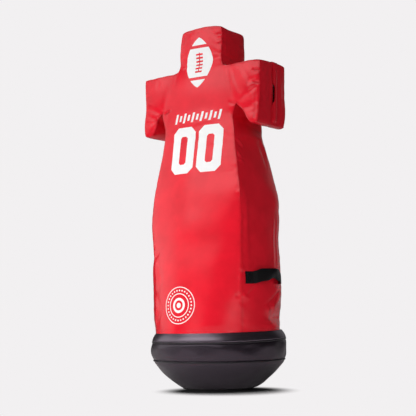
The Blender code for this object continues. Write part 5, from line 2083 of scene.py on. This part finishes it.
    def build(self) -> None:
        """Lay every print."""
        shapes = {"print_number": self.number(), "print_bars": self.bars(), "print_ball": self.ball()}
        for name, quads in shapes.items():
            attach(self.laid(name, quads), "torso")
        badge = self.badge() + self.dots()
        low = self.laid("print_badge_lower", badge, top=self.flex_z)
        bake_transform(low)
        high = self.laid("print_badge_upper", badge, low=self.flex_z)
        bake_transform(high)
        LOG.info("prints: 5 pieces")


# Handles and zip


@dataclass
class Handle:
    """One webbing handle: a loop that bows off the cover between two sewn ends."""

    surface: BVHTree
    side: int
    middle_z: float = 0.456
    width: float = 0.050
    thickness: float = 0.0024
    half_length: float = 0.138
    sewn: float = 0.030
    ramp: float = 0.024
    end_standoff: float = 0.0130
    middle_standoff: float = 0.0265
    columns: int = 14
    rows: int = 96
    edge_round: float = 0.0007
    clearance: float = 0.0008
    kink_y: Pair = (0.002, 0.032)
    kink_out: float = 0.0160
    kink_up: float = 0.0130
    top_rise: float = 0.0125
    low_rise: float = 0.0095
    curl: Pair = (0.0010, 0.0065)
    kink_foot: float = 0.40
    top_spans: Pair = (0.046, 0.060)
    top_end: float = 0.004
    low_spans: Pair = (0.052, 0.044)
    stitch_inset: Pair = (0.003, 0.004)
    stitch_span: Pair = (0.10, 0.90)
    flex_y: Pair = (0.022, 0.030)
    finish: Webbing = STRAP

    def cover_x(self, y: float, z: float) -> float:
        """How far out the cover stands at (y, z)."""
        hit = self.surface.ray_cast(Vector((self.side * 1.0, y, z)), Vector((-self.side, 0, 0)))[0]
        return abs(hit.x)

    def flat_x(self, y: float, t: float) -> float:
        """How far out a flat strip lies on the cover at y, a share t of the way up it."""
        low, top = self.middle_z - self.width / 2, self.middle_z + self.width / 2
        steps = shares(4)
        reaches = [self.cover_x(y, mix(low, top, u)) for u in steps]
        lift = max(0.0, *(reach - mix(reaches[0], reaches[-1], u) for reach, u in zip(reaches, steps)))
        return mix(reaches[0], reaches[-1], t) + lift

    def lift(self, y: float, t: float) -> float:
        """How far the webbing's inner face stands off the cover at y."""
        sewn_y = self.half_length - self.sewn
        free_y = sewn_y - self.ramp
        away = abs(y)
        if away >= free_y:
            return self.clearance + self.end_standoff * ease((sewn_y - away) / self.ramp)
        share = (away / free_y) ** 2
        end, middle = self.flat_x(math.copysign(free_y, y), t), self.flat_x(0.0, t)
        bowed = mix(middle + self.middle_standoff, end + self.clearance + self.end_standoff, share)
        return bowed - self.flat_x(y, t)

    def sway(self, y: float, t: float) -> Pair:
        """The webbing's own unevenness at y: how far it leans out, and up."""
        kink = math.exp(-(((y - self.kink_y[0]) / self.kink_y[1]) ** 2))
        sewn = self.half_length - self.sewn
        (top_start, top_end), (low_start, low_end) = self.top_spans, self.low_spans
        top = self.top_rise * ease((y + sewn) / top_start) * ease((sewn - self.top_end - y) / top_end)
        low = self.low_rise * ease((y + sewn) / low_start) * ease((sewn - y) / low_end) + self.kink_up * kink
        curl = (self.curl[0] + self.curl[1] * kink) * (1 - (2 * t - 1) ** 2)
        return self.kink_out * kink * (t - self.kink_foot) + curl, mix(low, top, t)

    def height(self, t: float) -> float:
        """The height a share t of the way up the webbing, before it sways."""
        return self.middle_z + (t - 0.5) * (self.width - 0.001)

    def run(self, name: str, start: float, end: float) -> Object:
        """The webbing from one y to another.

        Args:
            name: the piece's name.
            start: the y of its sewn end.
            end: the y where the other half takes over.

        Returns:
            The piece.
        """
        points, uv = [], []
        for along in shares(self.rows):
            y = mix(start, end, along)
            for t in shares(self.columns):
                out, up = self.sway(y, t)
                edge = self.edge_round * max(0.0, 1 - min(t, 1 - t) * self.columns)
                x = self.flat_x(y, t) + self.lift(y, t) + out + self.thickness - edge
                points.append((self.side * x, y, self.height(t) + up))
                uv.append(points[-1][1:])
        cloth = Sheet.of(np.array(points), grid_faces(self.rows, self.columns), np.array(uv))
        if (end > start) != (self.side > 0):
            cloth = cloth.turned_over()
        return cloth.walled(name, self.thickness, self.finish)

    def box_stitch(self, way: int) -> list[list[Vector]]:
        """The stitched box and cross on one sewn end, as rows of points on the webbing."""
        inner, outer = self.stitch_inset
        near, far = self.half_length - self.sewn + inner, self.half_length - outer
        low, top = self.stitch_span
        corners = [(near, low), (far, low), (far, top), (near, top), (near, low), (far, top)]
        rows = []
        for line in (list(zip(corners, corners[1:])), [((near, top), (far, low))]):
            row = []
            for (ya, ta), (yb, tb) in line:
                for k in shares(12):
                    y, t = mix(ya, yb, k), mix(ta, tb, k)
                    x = self.flat_x(y, t) + self.clearance + self.sway(y, t)[0] + self.thickness
                    row.append(Vector((self.side * (x + THREAD_LIFT), way * y, self.height(t))))
            rows.append(row)
        return rows

    def build(self) -> None:
        """Make both halves of the handle and the stitches that hold its ends."""
        word = "right" if self.side > 0 else "left"
        for way, place in ((-1, "front"), (1, "back")):
            half = self.run(f"{word}_handle_{place}_webbing", way * self.half_length, 0.0)
            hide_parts(f"{word}_handle_{place}_tab", f"{word}_handle_strap")
            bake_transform(half)
        sewn = Stitching(BLACK_THREAD, length=0.0030, gap=0.0010, width=0.0009)
        rows = [row for way in (-1, 1) for row in self.box_stitch(way)]
        threads = sewn.sew(f"{word}_handle_stitches", rows)
        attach(threads, "torso")
        LOG.info("%s handle: 3 pieces", word)


@dataclass
class Zip:
    """The zip round the right arm's end: tape, teeth, slider, pull and the flap over it."""

    skin: Mesh
    surface: BVHTree
    middle_y: float = 0.014
    tape_half: float = 0.015
    tape_wall: float = 0.0008
    wall: float = 0.0015
    tooth_pitch: float = 0.0022
    tooth_length: float = 0.0034
    tooth_thickness: float = 0.0012
    foot: Pair = (0.2834, 1.0956)
    top: Pair = (0.2936, 1.3346)
    free_y: float = 0.003
    inner_y: float = 0.0105
    sewn_y: float = 0.044
    standoff: float = 0.0090
    flap_wall: float = 0.0012
    slider_size: Triple = (0.0030, 0.0098, 0.0138)
    slider_place: Pair = (0.287327, 1.145454)
    pull_half: Triple = (0.0034, 0.0024, 0.0099)
    flap_turn: float = 0.012
    flap_lift: float = 0.0007
    gape_at: Pair = (1.221, 0.037)
    gape: float = 0.0060
    under_cover: float = 0.0007
    line_half: float = 0.0012
    line_under: float = 0.0004
    tooth_share: float = 0.62
    tooth_aside: float = 0.24
    slider_bevel: float = 0.0009
    slider_waist: float = 0.62
    slot_share: float = 0.46
    slot_half: float = 0.0046
    slot_drop: float = 0.0018
    pull_thickness: float = 0.0014
    end_fade: float = 0.020
    end_steps: int = 8
    end_share: float = 0.2
    ripple: Pair = (0.0008, 60)
    swell: Triple = (0.90, 0.02, 47)
    turn_share: float = 0.22
    turn_z: Pair = (1.316, 0.020)
    sewn_fade: Pair = (0.006, 0.018)
    wear: float = 0.004
    stitch_inset: float = 0.003
    probe: float = 0.05
    sharp_angle: float = 0.8
    plate_bevel: float = 0.22
    waist_rise: float = 1.3
    pull_power: float = 0.6
    slot_power: float = 0.8
    top_step: float = 0.0075
    edge_gaps: Pair = (0.001, 0.002)

    def tape(self) -> None:
        """The tape, which follows the cover just under its slot."""
        points, normals = coordinates(self.skin), vertex_normals(self.skin)
        strip = {Panel.ZIP_SLOT.index(), Panel.RIGHT_ARM_FRONT.index(), Panel.RIGHT_ARM_BACK.index()}
        keep = []
        for face in self.skin.polygons:
            y = np.mean(points[list(face.vertices), 1])
            keep.append(face.material_index in strip and abs(y - self.middle_y) < self.tape_half)
        faces = face_list(self.skin)
        under = points - normals * (self.wall + self.under_cover)
        uv = np.column_stack([points[:, 1], points[:, 0] + points[:, 2]])
        cloth = Sheet(under, faces, normals, uv, np.zeros(len(points))).part(np.array(keep))
        made = cloth.walled("zip_tape_cloth", self.tape_wall, TAPE)
        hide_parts("zip_tape")
        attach(made, "torso")

    def middle_line(self) -> list[Vector]:
        """The slot's middle line on the tape, from the armpit round to the neck."""
        points, normals = coordinates(self.skin), vertex_normals(self.skin)
        flat = corner_uv(self.skin)
        along: dict[int, float] = {}
        for face in self.skin.polygons:
            if face.material_index == Panel.ZIP_SLOT.index():
                for loop, vertex in zip(face.loop_indices, face.vertices):
                    if abs(points[vertex, 1] - self.middle_y) < self.line_half:
                        along[vertex] = flat[loop, 1]
        order = sorted(along, key=along.get)
        return [Vector(points[i] - normals[i] * (self.wall + self.line_under)) for i in order]

    def teeth(self) -> None:
        """The zip's teeth, laid by a tree to either side of the middle line in turn."""
        t = Tree("zip_teeth")
        usual = (self.tooth_pitch, self.tooth_length, self.tooth_thickness)
        sizes = t.begin(dict(zip(("Pitch", "Tooth length", "Tooth thickness"), usual)))
        half_pitch = t.math("DIVIDE", sizes["Pitch"], 2.0)
        tooth = t.first("GeometryNodeMeshUVSphere", {"Segments": 8, "Rings": 4, "Radius": 0.5})
        long = t.times(sizes["Pitch"], self.tooth_share)
        size = t.vector(long, sizes["Tooth length"], sizes["Tooth thickness"])
        laid = t.laid_along(sizes["Geometry"], half_pitch, tooth, size)
        odd = t.math("MODULO", t.first("GeometryNodeInputIndex"), 2.0)
        side = t.math("SUBTRACT", t.times(odd, 2.0), 1.0)
        aside = t.vector(0.0, t.times(side, t.times(sizes["Tooth length"], self.tooth_aside)), 0.0)
        inputs = {"Instances": laid, "Translation": aside, "Local Space": False}
        t.end(t.first("GeometryNodeTranslateInstances", inputs), Dye.of(ZIP_METAL))
        made = t.run("zip_teeth", row_mesh([self.middle_line()]))
        made.data.shade_smooth()
        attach(made, "torso")

    def up_way(self) -> Vector:
        """The way up the arm's end."""
        return Vector((self.top[0] - self.foot[0], 0.0, self.top[1] - self.foot[1])).normalized()

    def plate(self, outline: Sequence[Pair], hole: Sequence[Pair], thickness: float) -> bmesh.types.BMesh:
        """A flat metal plate with a hole, between two loops of as many (y, z) points."""
        bm = bmesh.new()
        rings = []
        for loop, x in ((outline, 0.5), (hole, 0.5), (hole, -0.5), (outline, -0.5)):
            rings.append([bm.verts.new((x * thickness, y, z)) for y, z in loop])
        for a, b in zip(rings, rings[1:] + rings[:1]):
            for corner in zip(a, a[1:] + a[:1], b[1:] + b[:1], b):
                bm.faces.new(corner)
        bmesh.ops.recalc_face_normals(bm, faces=bm.faces)
        sharp = [e for e in bm.edges if e.calc_face_angle(0) > self.sharp_angle]
        bmesh.ops.bevel(bm, geom=sharp, offset=thickness * self.plate_bevel, segments=2, affect="EDGES")
        return bm

    def slider(self) -> None:
        """The slider's body: a waisted block with a bridge for the pull."""
        bm = bmesh.new()
        bmesh.ops.create_cube(bm, size=1.0)
        bmesh.ops.scale(bm, vec=self.slider_size, verts=bm.verts)
        edges, depth = bm.edges[:], self.slider_bevel
        bmesh.ops.bevel(bm, geom=edges, offset=depth, segments=3, profile=0.6, affect="EDGES")
        for vert in bm.verts:
            share = vert.co.z / self.slider_size[2] + 0.5
            vert.co.y *= mix(self.slider_waist, 1.0, ease(share * self.waist_rise))
        place = Vector((self.slider_place[0], self.middle_y, self.slider_place[1]))
        self.metal(bm, "zip_slider_metal", "zip_slider", "slider", place)

    def pull(self) -> None:
        """The pull: a tapered plate with a slot, hanging from the slider's bridge."""
        outline, hole = [], []
        foot, head, half = self.pull_half
        for place in circle(1.0, 32):
            wide = mix(foot, head, ease(0.5 + place[1] / 2))
            across, up = (math.copysign(abs(v) ** self.pull_power, v) for v in place)
            outline.append((wide * across, half * up))
            across, up = (math.copysign(abs(v) ** self.slot_power, v) for v in place)
            hole.append((wide * self.slot_share * across, self.slot_half * up - self.slot_drop))
        bm = self.plate(outline, hole, self.pull_thickness)
        low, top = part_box("zip_pull")
        middle = (Vector(low) + Vector(top)) / 2
        self.metal(bm, "zip_pull_metal", "zip_pull", "pull", middle, lean=False)

    def metal(
        self, bm: bmesh.types.BMesh, name: str, node: str, body: str, place: Vector, lean: bool = True
    ) -> None:
        """Put a metal piece in its place and let it follow its body.

        Args:
            bm: its shape round the origin.
            name: the piece's name.
            node: the CAD node it stands for.
            body: the body it rides on.
            place: its middle.
            lean: whether it leans with the arm's end.
        """
        up = self.up_way()
        turn = Matrix.Rotation(math.atan2(up.x, up.z), 4, "Y") if lean else Matrix()
        bm.transform(Matrix.Translation(place) @ turn)
        made = shade(new_object(name, mesh_of(bm, name)), Dye.of(ZIP_METAL), math.radians(40))
        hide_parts(node)
        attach(made, body)

    def flap_path(self) -> list[tuple[Vector, Vector]]:
        """Places and outward ways up the arm's end and over its top corner."""
        up = self.up_way()
        out = Vector((up.z, 0.0, -up.x))
        foot, top = (Vector((x, 0.0, z)) for x, z in (self.foot, self.top))
        path = [(foot.lerp(top, t), out) for t in shares(60)]
        middle = top - out * self.flap_turn
        for t in shares(9)[1:]:
            a = math.radians(90) * t
            way = (out * math.cos(a) + up * math.sin(a)).normalized()
            path.append((middle + way * self.flap_turn, way))
        last = path[-1][0]
        path += [(last - Vector((self.top_step * i, 0.0, 0.0)), up) for i in range(1, 20)]
        return path

    def flap(self) -> None:
        """The flap, sewn down behind the zip and open in front of it, where it gapes a little."""
        points, uv = [], []
        path = self.flap_path()
        along = 0.0
        columns = 20
        for i, (place, out) in enumerate(path):
            if i:
                along += (place - path[i - 1][0]).length
            end = min(1.0, along / self.end_fade, (len(path) - 1 - i) / self.end_steps)
            gape = math.exp(-(((place.z - self.gape_at[0]) / self.gape_at[1]) ** 4))
            ripple = self.ripple[0] * math.sin(along * self.ripple[1])
            free = self.free_y + self.edge_gaps[0] + self.gape * gape + ripple
            swell = self.swell[0] + self.swell[1] * math.sin(along * self.swell[2] + 1)
            rise = self.standoff * swell * mix(self.end_share, 1.0, ease(end))
            beyond = mix(1.0, self.turn_share, ease((place.z - self.turn_z[0]) / self.turn_z[1]))
            for t in shares(columns):
                y = mix(self.sewn_y, free, t)
                reach = self.inner_y - self.free_y - self.edge_gaps[1]
                down = 1 - (1 - gape) * ease((self.inner_y - y) / reach)
                sewn = ease((self.sewn_y - self.sewn_fade[0] - y) / self.sewn_fade[1])
                lift = rise * beyond * down * sewn + self.flap_lift
                base = self.surface_offset(place, out, y)
                points.append(place + Vector((0, y, 0)) + out * (base + lift + self.flap_wall))
                uv.append((y, along))
        uv = np.array(uv)
        near = bell(uv[:, 0] - self.sewn_y + self.wear, self.wear)
        cloth = Sheet.of(np.array(points), grid_faces(len(path) - 1, columns), uv, near)
        if cloth.normals[:, 0].mean() < 0:
            cloth = cloth.turned_over()
        made = cloth.walled("zip_flap_cloth", self.flap_wall, RED)
        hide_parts("zip_flap")
        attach(made, "torso")

    def surface_offset(self, place: Vector, out: Vector, y: float) -> float:
        """How far the cover stands beyond the path at y."""
        start = Vector((place.x, y, place.z)) + out * self.probe
        hit = self.surface.ray_cast(start, -out, 2 * self.probe)[0]
        return 0.0 if hit is None else self.probe - (hit - start).length

    def seam_stitches(self) -> None:
        """The stitched line that holds the flap down."""
        row = []
        for place, out in self.flap_path()[2:-2]:
            y = self.sewn_y - self.stitch_inset
            base = self.surface_offset(place, out, y)
            row.append(place + Vector((0, y, 0)) + out * (base + self.flap_lift + self.flap_wall))
        made = Stitching(RED_THREAD, width=0.0008).sew("flap_stitches", [row])
        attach(made, "torso")

    def build(self) -> None:
        """Make every piece of the zip."""
        self.tape()
        self.teeth()
        self.slider()
        self.pull()
        self.flap()
        self.seam_stitches()
        LOG.info("zip: 6 pieces")


# What the cover and the bag hold


@dataclass
class Core:
    """The foam blocks inside, with softened edges, and the finishes of the weight and its bolt."""

    nodes: dict[str, Object]
    pulls: list[Pull]
    voxel: float = 0.008
    inset: float = 0.0048
    unevenness: float = 0.0005
    smoothing: tuple[float, int] = (0.5, 4)
    torso_blocks: tuple[str, ...] = ("torso", "shoulder", "head", "left_arm", "right_arm")

    def softened(self, node: str) -> Object:
        """A foam block cut a little smaller than its node, with its edges rounded over."""
        bm = bmesh.new()
        bm.from_mesh(self.nodes[node].data)
        bmesh.ops.remove_doubles(bm, verts=bm.verts, dist=WELD)
        mesh = mesh_of(bm, "foam")
        mesh.materials.clear()
        made = new_object("foam", mesh)
        remesh = made.modifiers.new("remesh", "REMESH")
        remesh.mode = "VOXEL"
        remesh.voxel_size = self.voxel
        smooth = made.modifiers.new("smooth", "SMOOTH")
        smooth.factor, smooth.iterations = self.smoothing
        soft = evaluated_mesh(made, node + "_block")
        points, normals = coordinates(soft), vertex_normals(soft)
        points -= normals * (self.inset + self.unevenness * waves(points, (0.05,), 2))[:, None]
        points += sum(pull.shift(points) for pull in self.pulls)
        put_points(soft, points)
        made = shade(new_object(node + "_block", soft), Dye.of(FOAM))
        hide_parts(node)
        return made

    def build(self) -> None:
        """Make the foam and dress the hard pieces."""
        for block in self.torso_blocks:
            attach(self.softened(block + "_foam"), "torso")
        for node in ("foam_bowl", "column_foam_foot"):
            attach(self.softened(node), "base")
        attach(self.softened("column_foam_mid"), "column")
        lower, upper = self.softened("column_foam_lower"), self.softened("column_foam_upper")
        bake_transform(lower)
        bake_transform(upper)
        for place in ("lower", "middle", "upper"):
            self.dye(f"ballast_plate_{place}", IRON)
        self.dye("base_deck", PLYWOOD)
        self.dye("wear_disc", RUBBER)
        for node in ("ballast_bolt", "ballast_nut", "ballast_washer_lower", "ballast_washer_upper"):
            self.dye(node, ZINC)
        LOG.info("core: 10 foam blocks, 9 dressed hard pieces")

    def dye(self, node: str, finish: Finish) -> None:
        """Give a CAD node its finish."""
        for slot in self.nodes[node].material_slots:
            slot.material = Dye.of(finish)


# The studio


@dataclass(frozen=True)
class Lamp:
    """A rectangular soft light.

    Attributes:
        aim: the point it faces.
        power: its strength in watts.
        unseen: the kinds of rays that miss it.
        spread: the angle that it shines into.
    """

    name: str
    place: Triple
    aim: Triple
    size: Pair
    power: float
    unseen: tuple[str, ...] = ()
    spread: float = math.pi

    def hang(self) -> None:
        """Put the lamp in its place."""
        data = bpy.data.lights.new(self.name, "AREA")
        data.shape = "RECTANGLE"
        data.size, data.size_y = self.size
        data.energy, data.spread = self.power, self.spread
        made = new_object(self.name, data)
        way = Vector(self.aim) - Vector(self.place)
        turn = way.to_track_quat("-Z", "Y").to_matrix().to_4x4()
        made.matrix_world = Matrix.Translation(self.place) @ turn
        for rays in self.unseen:
            setattr(made, "visible_" + rays, False)


LAMPS = (
    Lamp("key", (-0.45, -2.5, 0.42), (0.0, 0.0, 0.25), (1.2, 0.7), 32.0, ("glossy",)),
    Lamp("canopy", (-0.5, -3.2, 3.3), (-0.5, 0.0, 0.3), (5.0, 2.2), 34.0),
    Lamp("softbox", (-2.5, -4.0, 3.1), (-2.5, 0.0, 3.1), (6.0, 3.0), 42.0),
    Lamp("high_softbox", (1.75, -4.0, 3.4), (1.75, 0.0, 3.4), (2.5, 1.6), 11.0, ("diffuse",)),
    Lamp("left_softbox", (-5.6, -1.8, 2.4), (0.0, -1.8, 2.4), (4.4, 4.4), 55.0),
    Lamp("overhead", (-1.0, -0.4, 3.6), (-0.5, -0.4, 0.0), (2.4, 2.4), 34.0),
    Lamp("back_card", (-0.7, 4.2, 1.1), (-0.7, 0.0, 1.1), (3.6, 2.4), 6.0, ("diffuse", "camera")),
    Lamp("fill", (2.6, -0.45, 1.75), (0.0, 0.0, 0.35), (1.0, 1.0), 14.0, ("glossy",)),
    Lamp("low_fill", (1.7, -1.1, 0.22), (0.1, 0.0, 0.32), (0.9, 0.4), 0.6, ("glossy",), 0.9),
)


@dataclass
class Studio:
    """Camera, lights, floor and backdrop. The angles are in radians and the focal length in pixels."""

    angle: float = 0.5898
    distance: float = 4.3774
    eye_height: float = 0.3447
    pitch: float = 0.095
    roll: float = -0.0148
    yaw: float = 0.0077
    focal: float = 1026.27
    frame_width: float = 416.0
    sensor: float = 36.0
    floor_radius: float = 12.0
    paper: Colour = (0.888, 0.871, 0.880)
    shadow_middle: Triple = (0.121, -0.122, 0.0)
    shadow_half: Triple = (0.314, 0.27, 1.0)
    shadow_turn: float = 0.38
    fade: Pair = (0.58, 1.0)
    # The painted shadow on the floor: the occlusion range that darkens it, how far occlusion looks, its dark
    # colour and how much of it other rays see.
    painted_shadow_span: Pair = (0.47, 0.82)
    painted_shadow_reach: float = 0.30
    painted_shadow_colour: Colour = (0.01, 0.01, 0.011)
    painted_shadow_bounce: float = 0.25
    surround_light: float = 0.03

    def camera(self) -> None:
        """The camera, where the photograph was taken from."""
        sine, cosine = math.sin(self.angle + self.yaw), math.cos(self.angle + self.yaw)
        level = math.cos(self.pitch)
        forward = Vector((-sine * level, cosine * level, math.sin(self.pitch)))
        right = Vector((cosine, sine, 0.0))
        up = right.cross(forward)
        across = right * math.cos(self.roll) + up * math.sin(self.roll)
        upward = up * math.cos(self.roll) - right * math.sin(self.roll)
        turn = Matrix((across, upward, -forward)).transposed()
        data = bpy.data.cameras.new("camera")
        data.sensor_width = self.sensor
        data.lens = self.sensor * self.focal / self.frame_width
        made = new_object("camera", data)
        away = Vector((math.sin(self.angle), -math.cos(self.angle), 0.0)) * self.distance
        made.matrix_world = Matrix.Translation(away + Vector((0.0, 0.0, self.eye_height))) @ turn.to_4x4()
        bpy.context.scene.camera = made

    def world(self) -> None:
        """A pale surround: what the camera sees, and a lower level that lights the object."""
        world = bpy.data.worlds.new("surround")
        bpy.context.scene.world = world
        world.use_nodes = True
        w = Wiring(world.node_tree)
        seen = w.tree.nodes["Background"]
        w.feed(seen.inputs["Color"], (*self.paper, 1.0))
        w.feed(seen.inputs["Strength"], 1.0)
        fed = {"Color": (1.0, 1.0, 1.0, 1.0), "Strength": self.surround_light}
        light = w.add("ShaderNodeBackground", fed)
        camera = w.add("ShaderNodeLightPath").outputs["Is Camera Ray"]
        both = w.add("ShaderNodeMixShader", {0: camera, 1: light.outputs[0], 2: seen.outputs[0]})
        w.feed(w.tree.nodes["World Output"].inputs["Surface"], both.outputs[0])

    def floor(self) -> None:
        """A round pale floor that keeps the shadow near the object, adds painted shadow where the object
        closes it in, and fades into the surround.
        """
        bm = bmesh.new()
        bmesh.ops.create_circle(bm, cap_ends=True, radius=self.floor_radius, segments=96)
        made = new_object("floor", mesh_of(bm, "floor"))
        n = Nodes("floor_paper")
        fed = {"Vector": n.place(), "Location": self.shadow_middle, "Scale": self.shadow_half}
        fed["Rotation"] = (0.0, 0.0, self.shadow_turn)
        mapping = n.add("Mapping", fed, vector_type="TEXTURE")
        away = n.add("VectorMath", {0: mapping.outputs[0]}, operation="LENGTH")
        fade = n.span(away.outputs["Value"], *self.fade, 0.0, 1.0)
        fade.node.interpolation_type = "SMOOTHSTEP"
        # Painted shadow: ambient occlusion darkens the floor's colour near the object, fully for camera rays
        # and in part for other rays.
        shut = n.add("AmbientOcclusion", {"Distance": self.painted_shadow_reach}, only_local=False)
        painted_shadow = n.blend(n.span(shut.outputs["AO"], *self.painted_shadow_span, 0.0, 1.0), self.painted_shadow_colour, self.paper)
        camera = n.add("LightPath").outputs["Is Camera Ray"]
        colour = n.blend(camera, n.blend(self.painted_shadow_bounce, self.paper, painted_shadow), painted_shadow)
        made.data.materials.append(n.finish(Base_Color=colour, Roughness=0.9))
        glow = n.add("Emission", {"Color": (*self.paper, 1.0), "Strength": 1.0})
        share = n.sum(fade, camera, "MULTIPLY")
        both = n.add("MixShader", {0: share, 1: n.shader.outputs[0], 2: glow.outputs[0]})
        n.feed(n.tree.nodes["Material Output"].inputs["Surface"], both.outputs[0])

    def build(self) -> None:
        """Set up the camera, the lights and the floor."""
        bpy.context.scene.view_settings.view_transform = "Standard"
        self.camera()
        self.world()
        self.floor()
        for lamp in LAMPS:
            lamp.hang()


def main() -> None:
    """Build the dummy piece by piece."""
    logging.basicConfig(level=logging.INFO, format="%(name)s: %(message)s")
    Studio().build()
    shape = BodyShape()
    cover = Cover(shape, RED)
    skin = cover.build()
    surface = BVHTree.FromPolygons([v.co for v in skin.vertices], [p.vertices for p in skin.polygons])
    cover.dress(skin)
    cover.hem_stitches(surface)
    BaseBag().build()
    Prints(surface).build()
    for side in (1, -1):
        Handle(surface, side).build()
    Zip(skin, surface).build()
    Core(frame["nodes"], cover.pulls()).build()


if __name__ == "__main__":
    main()
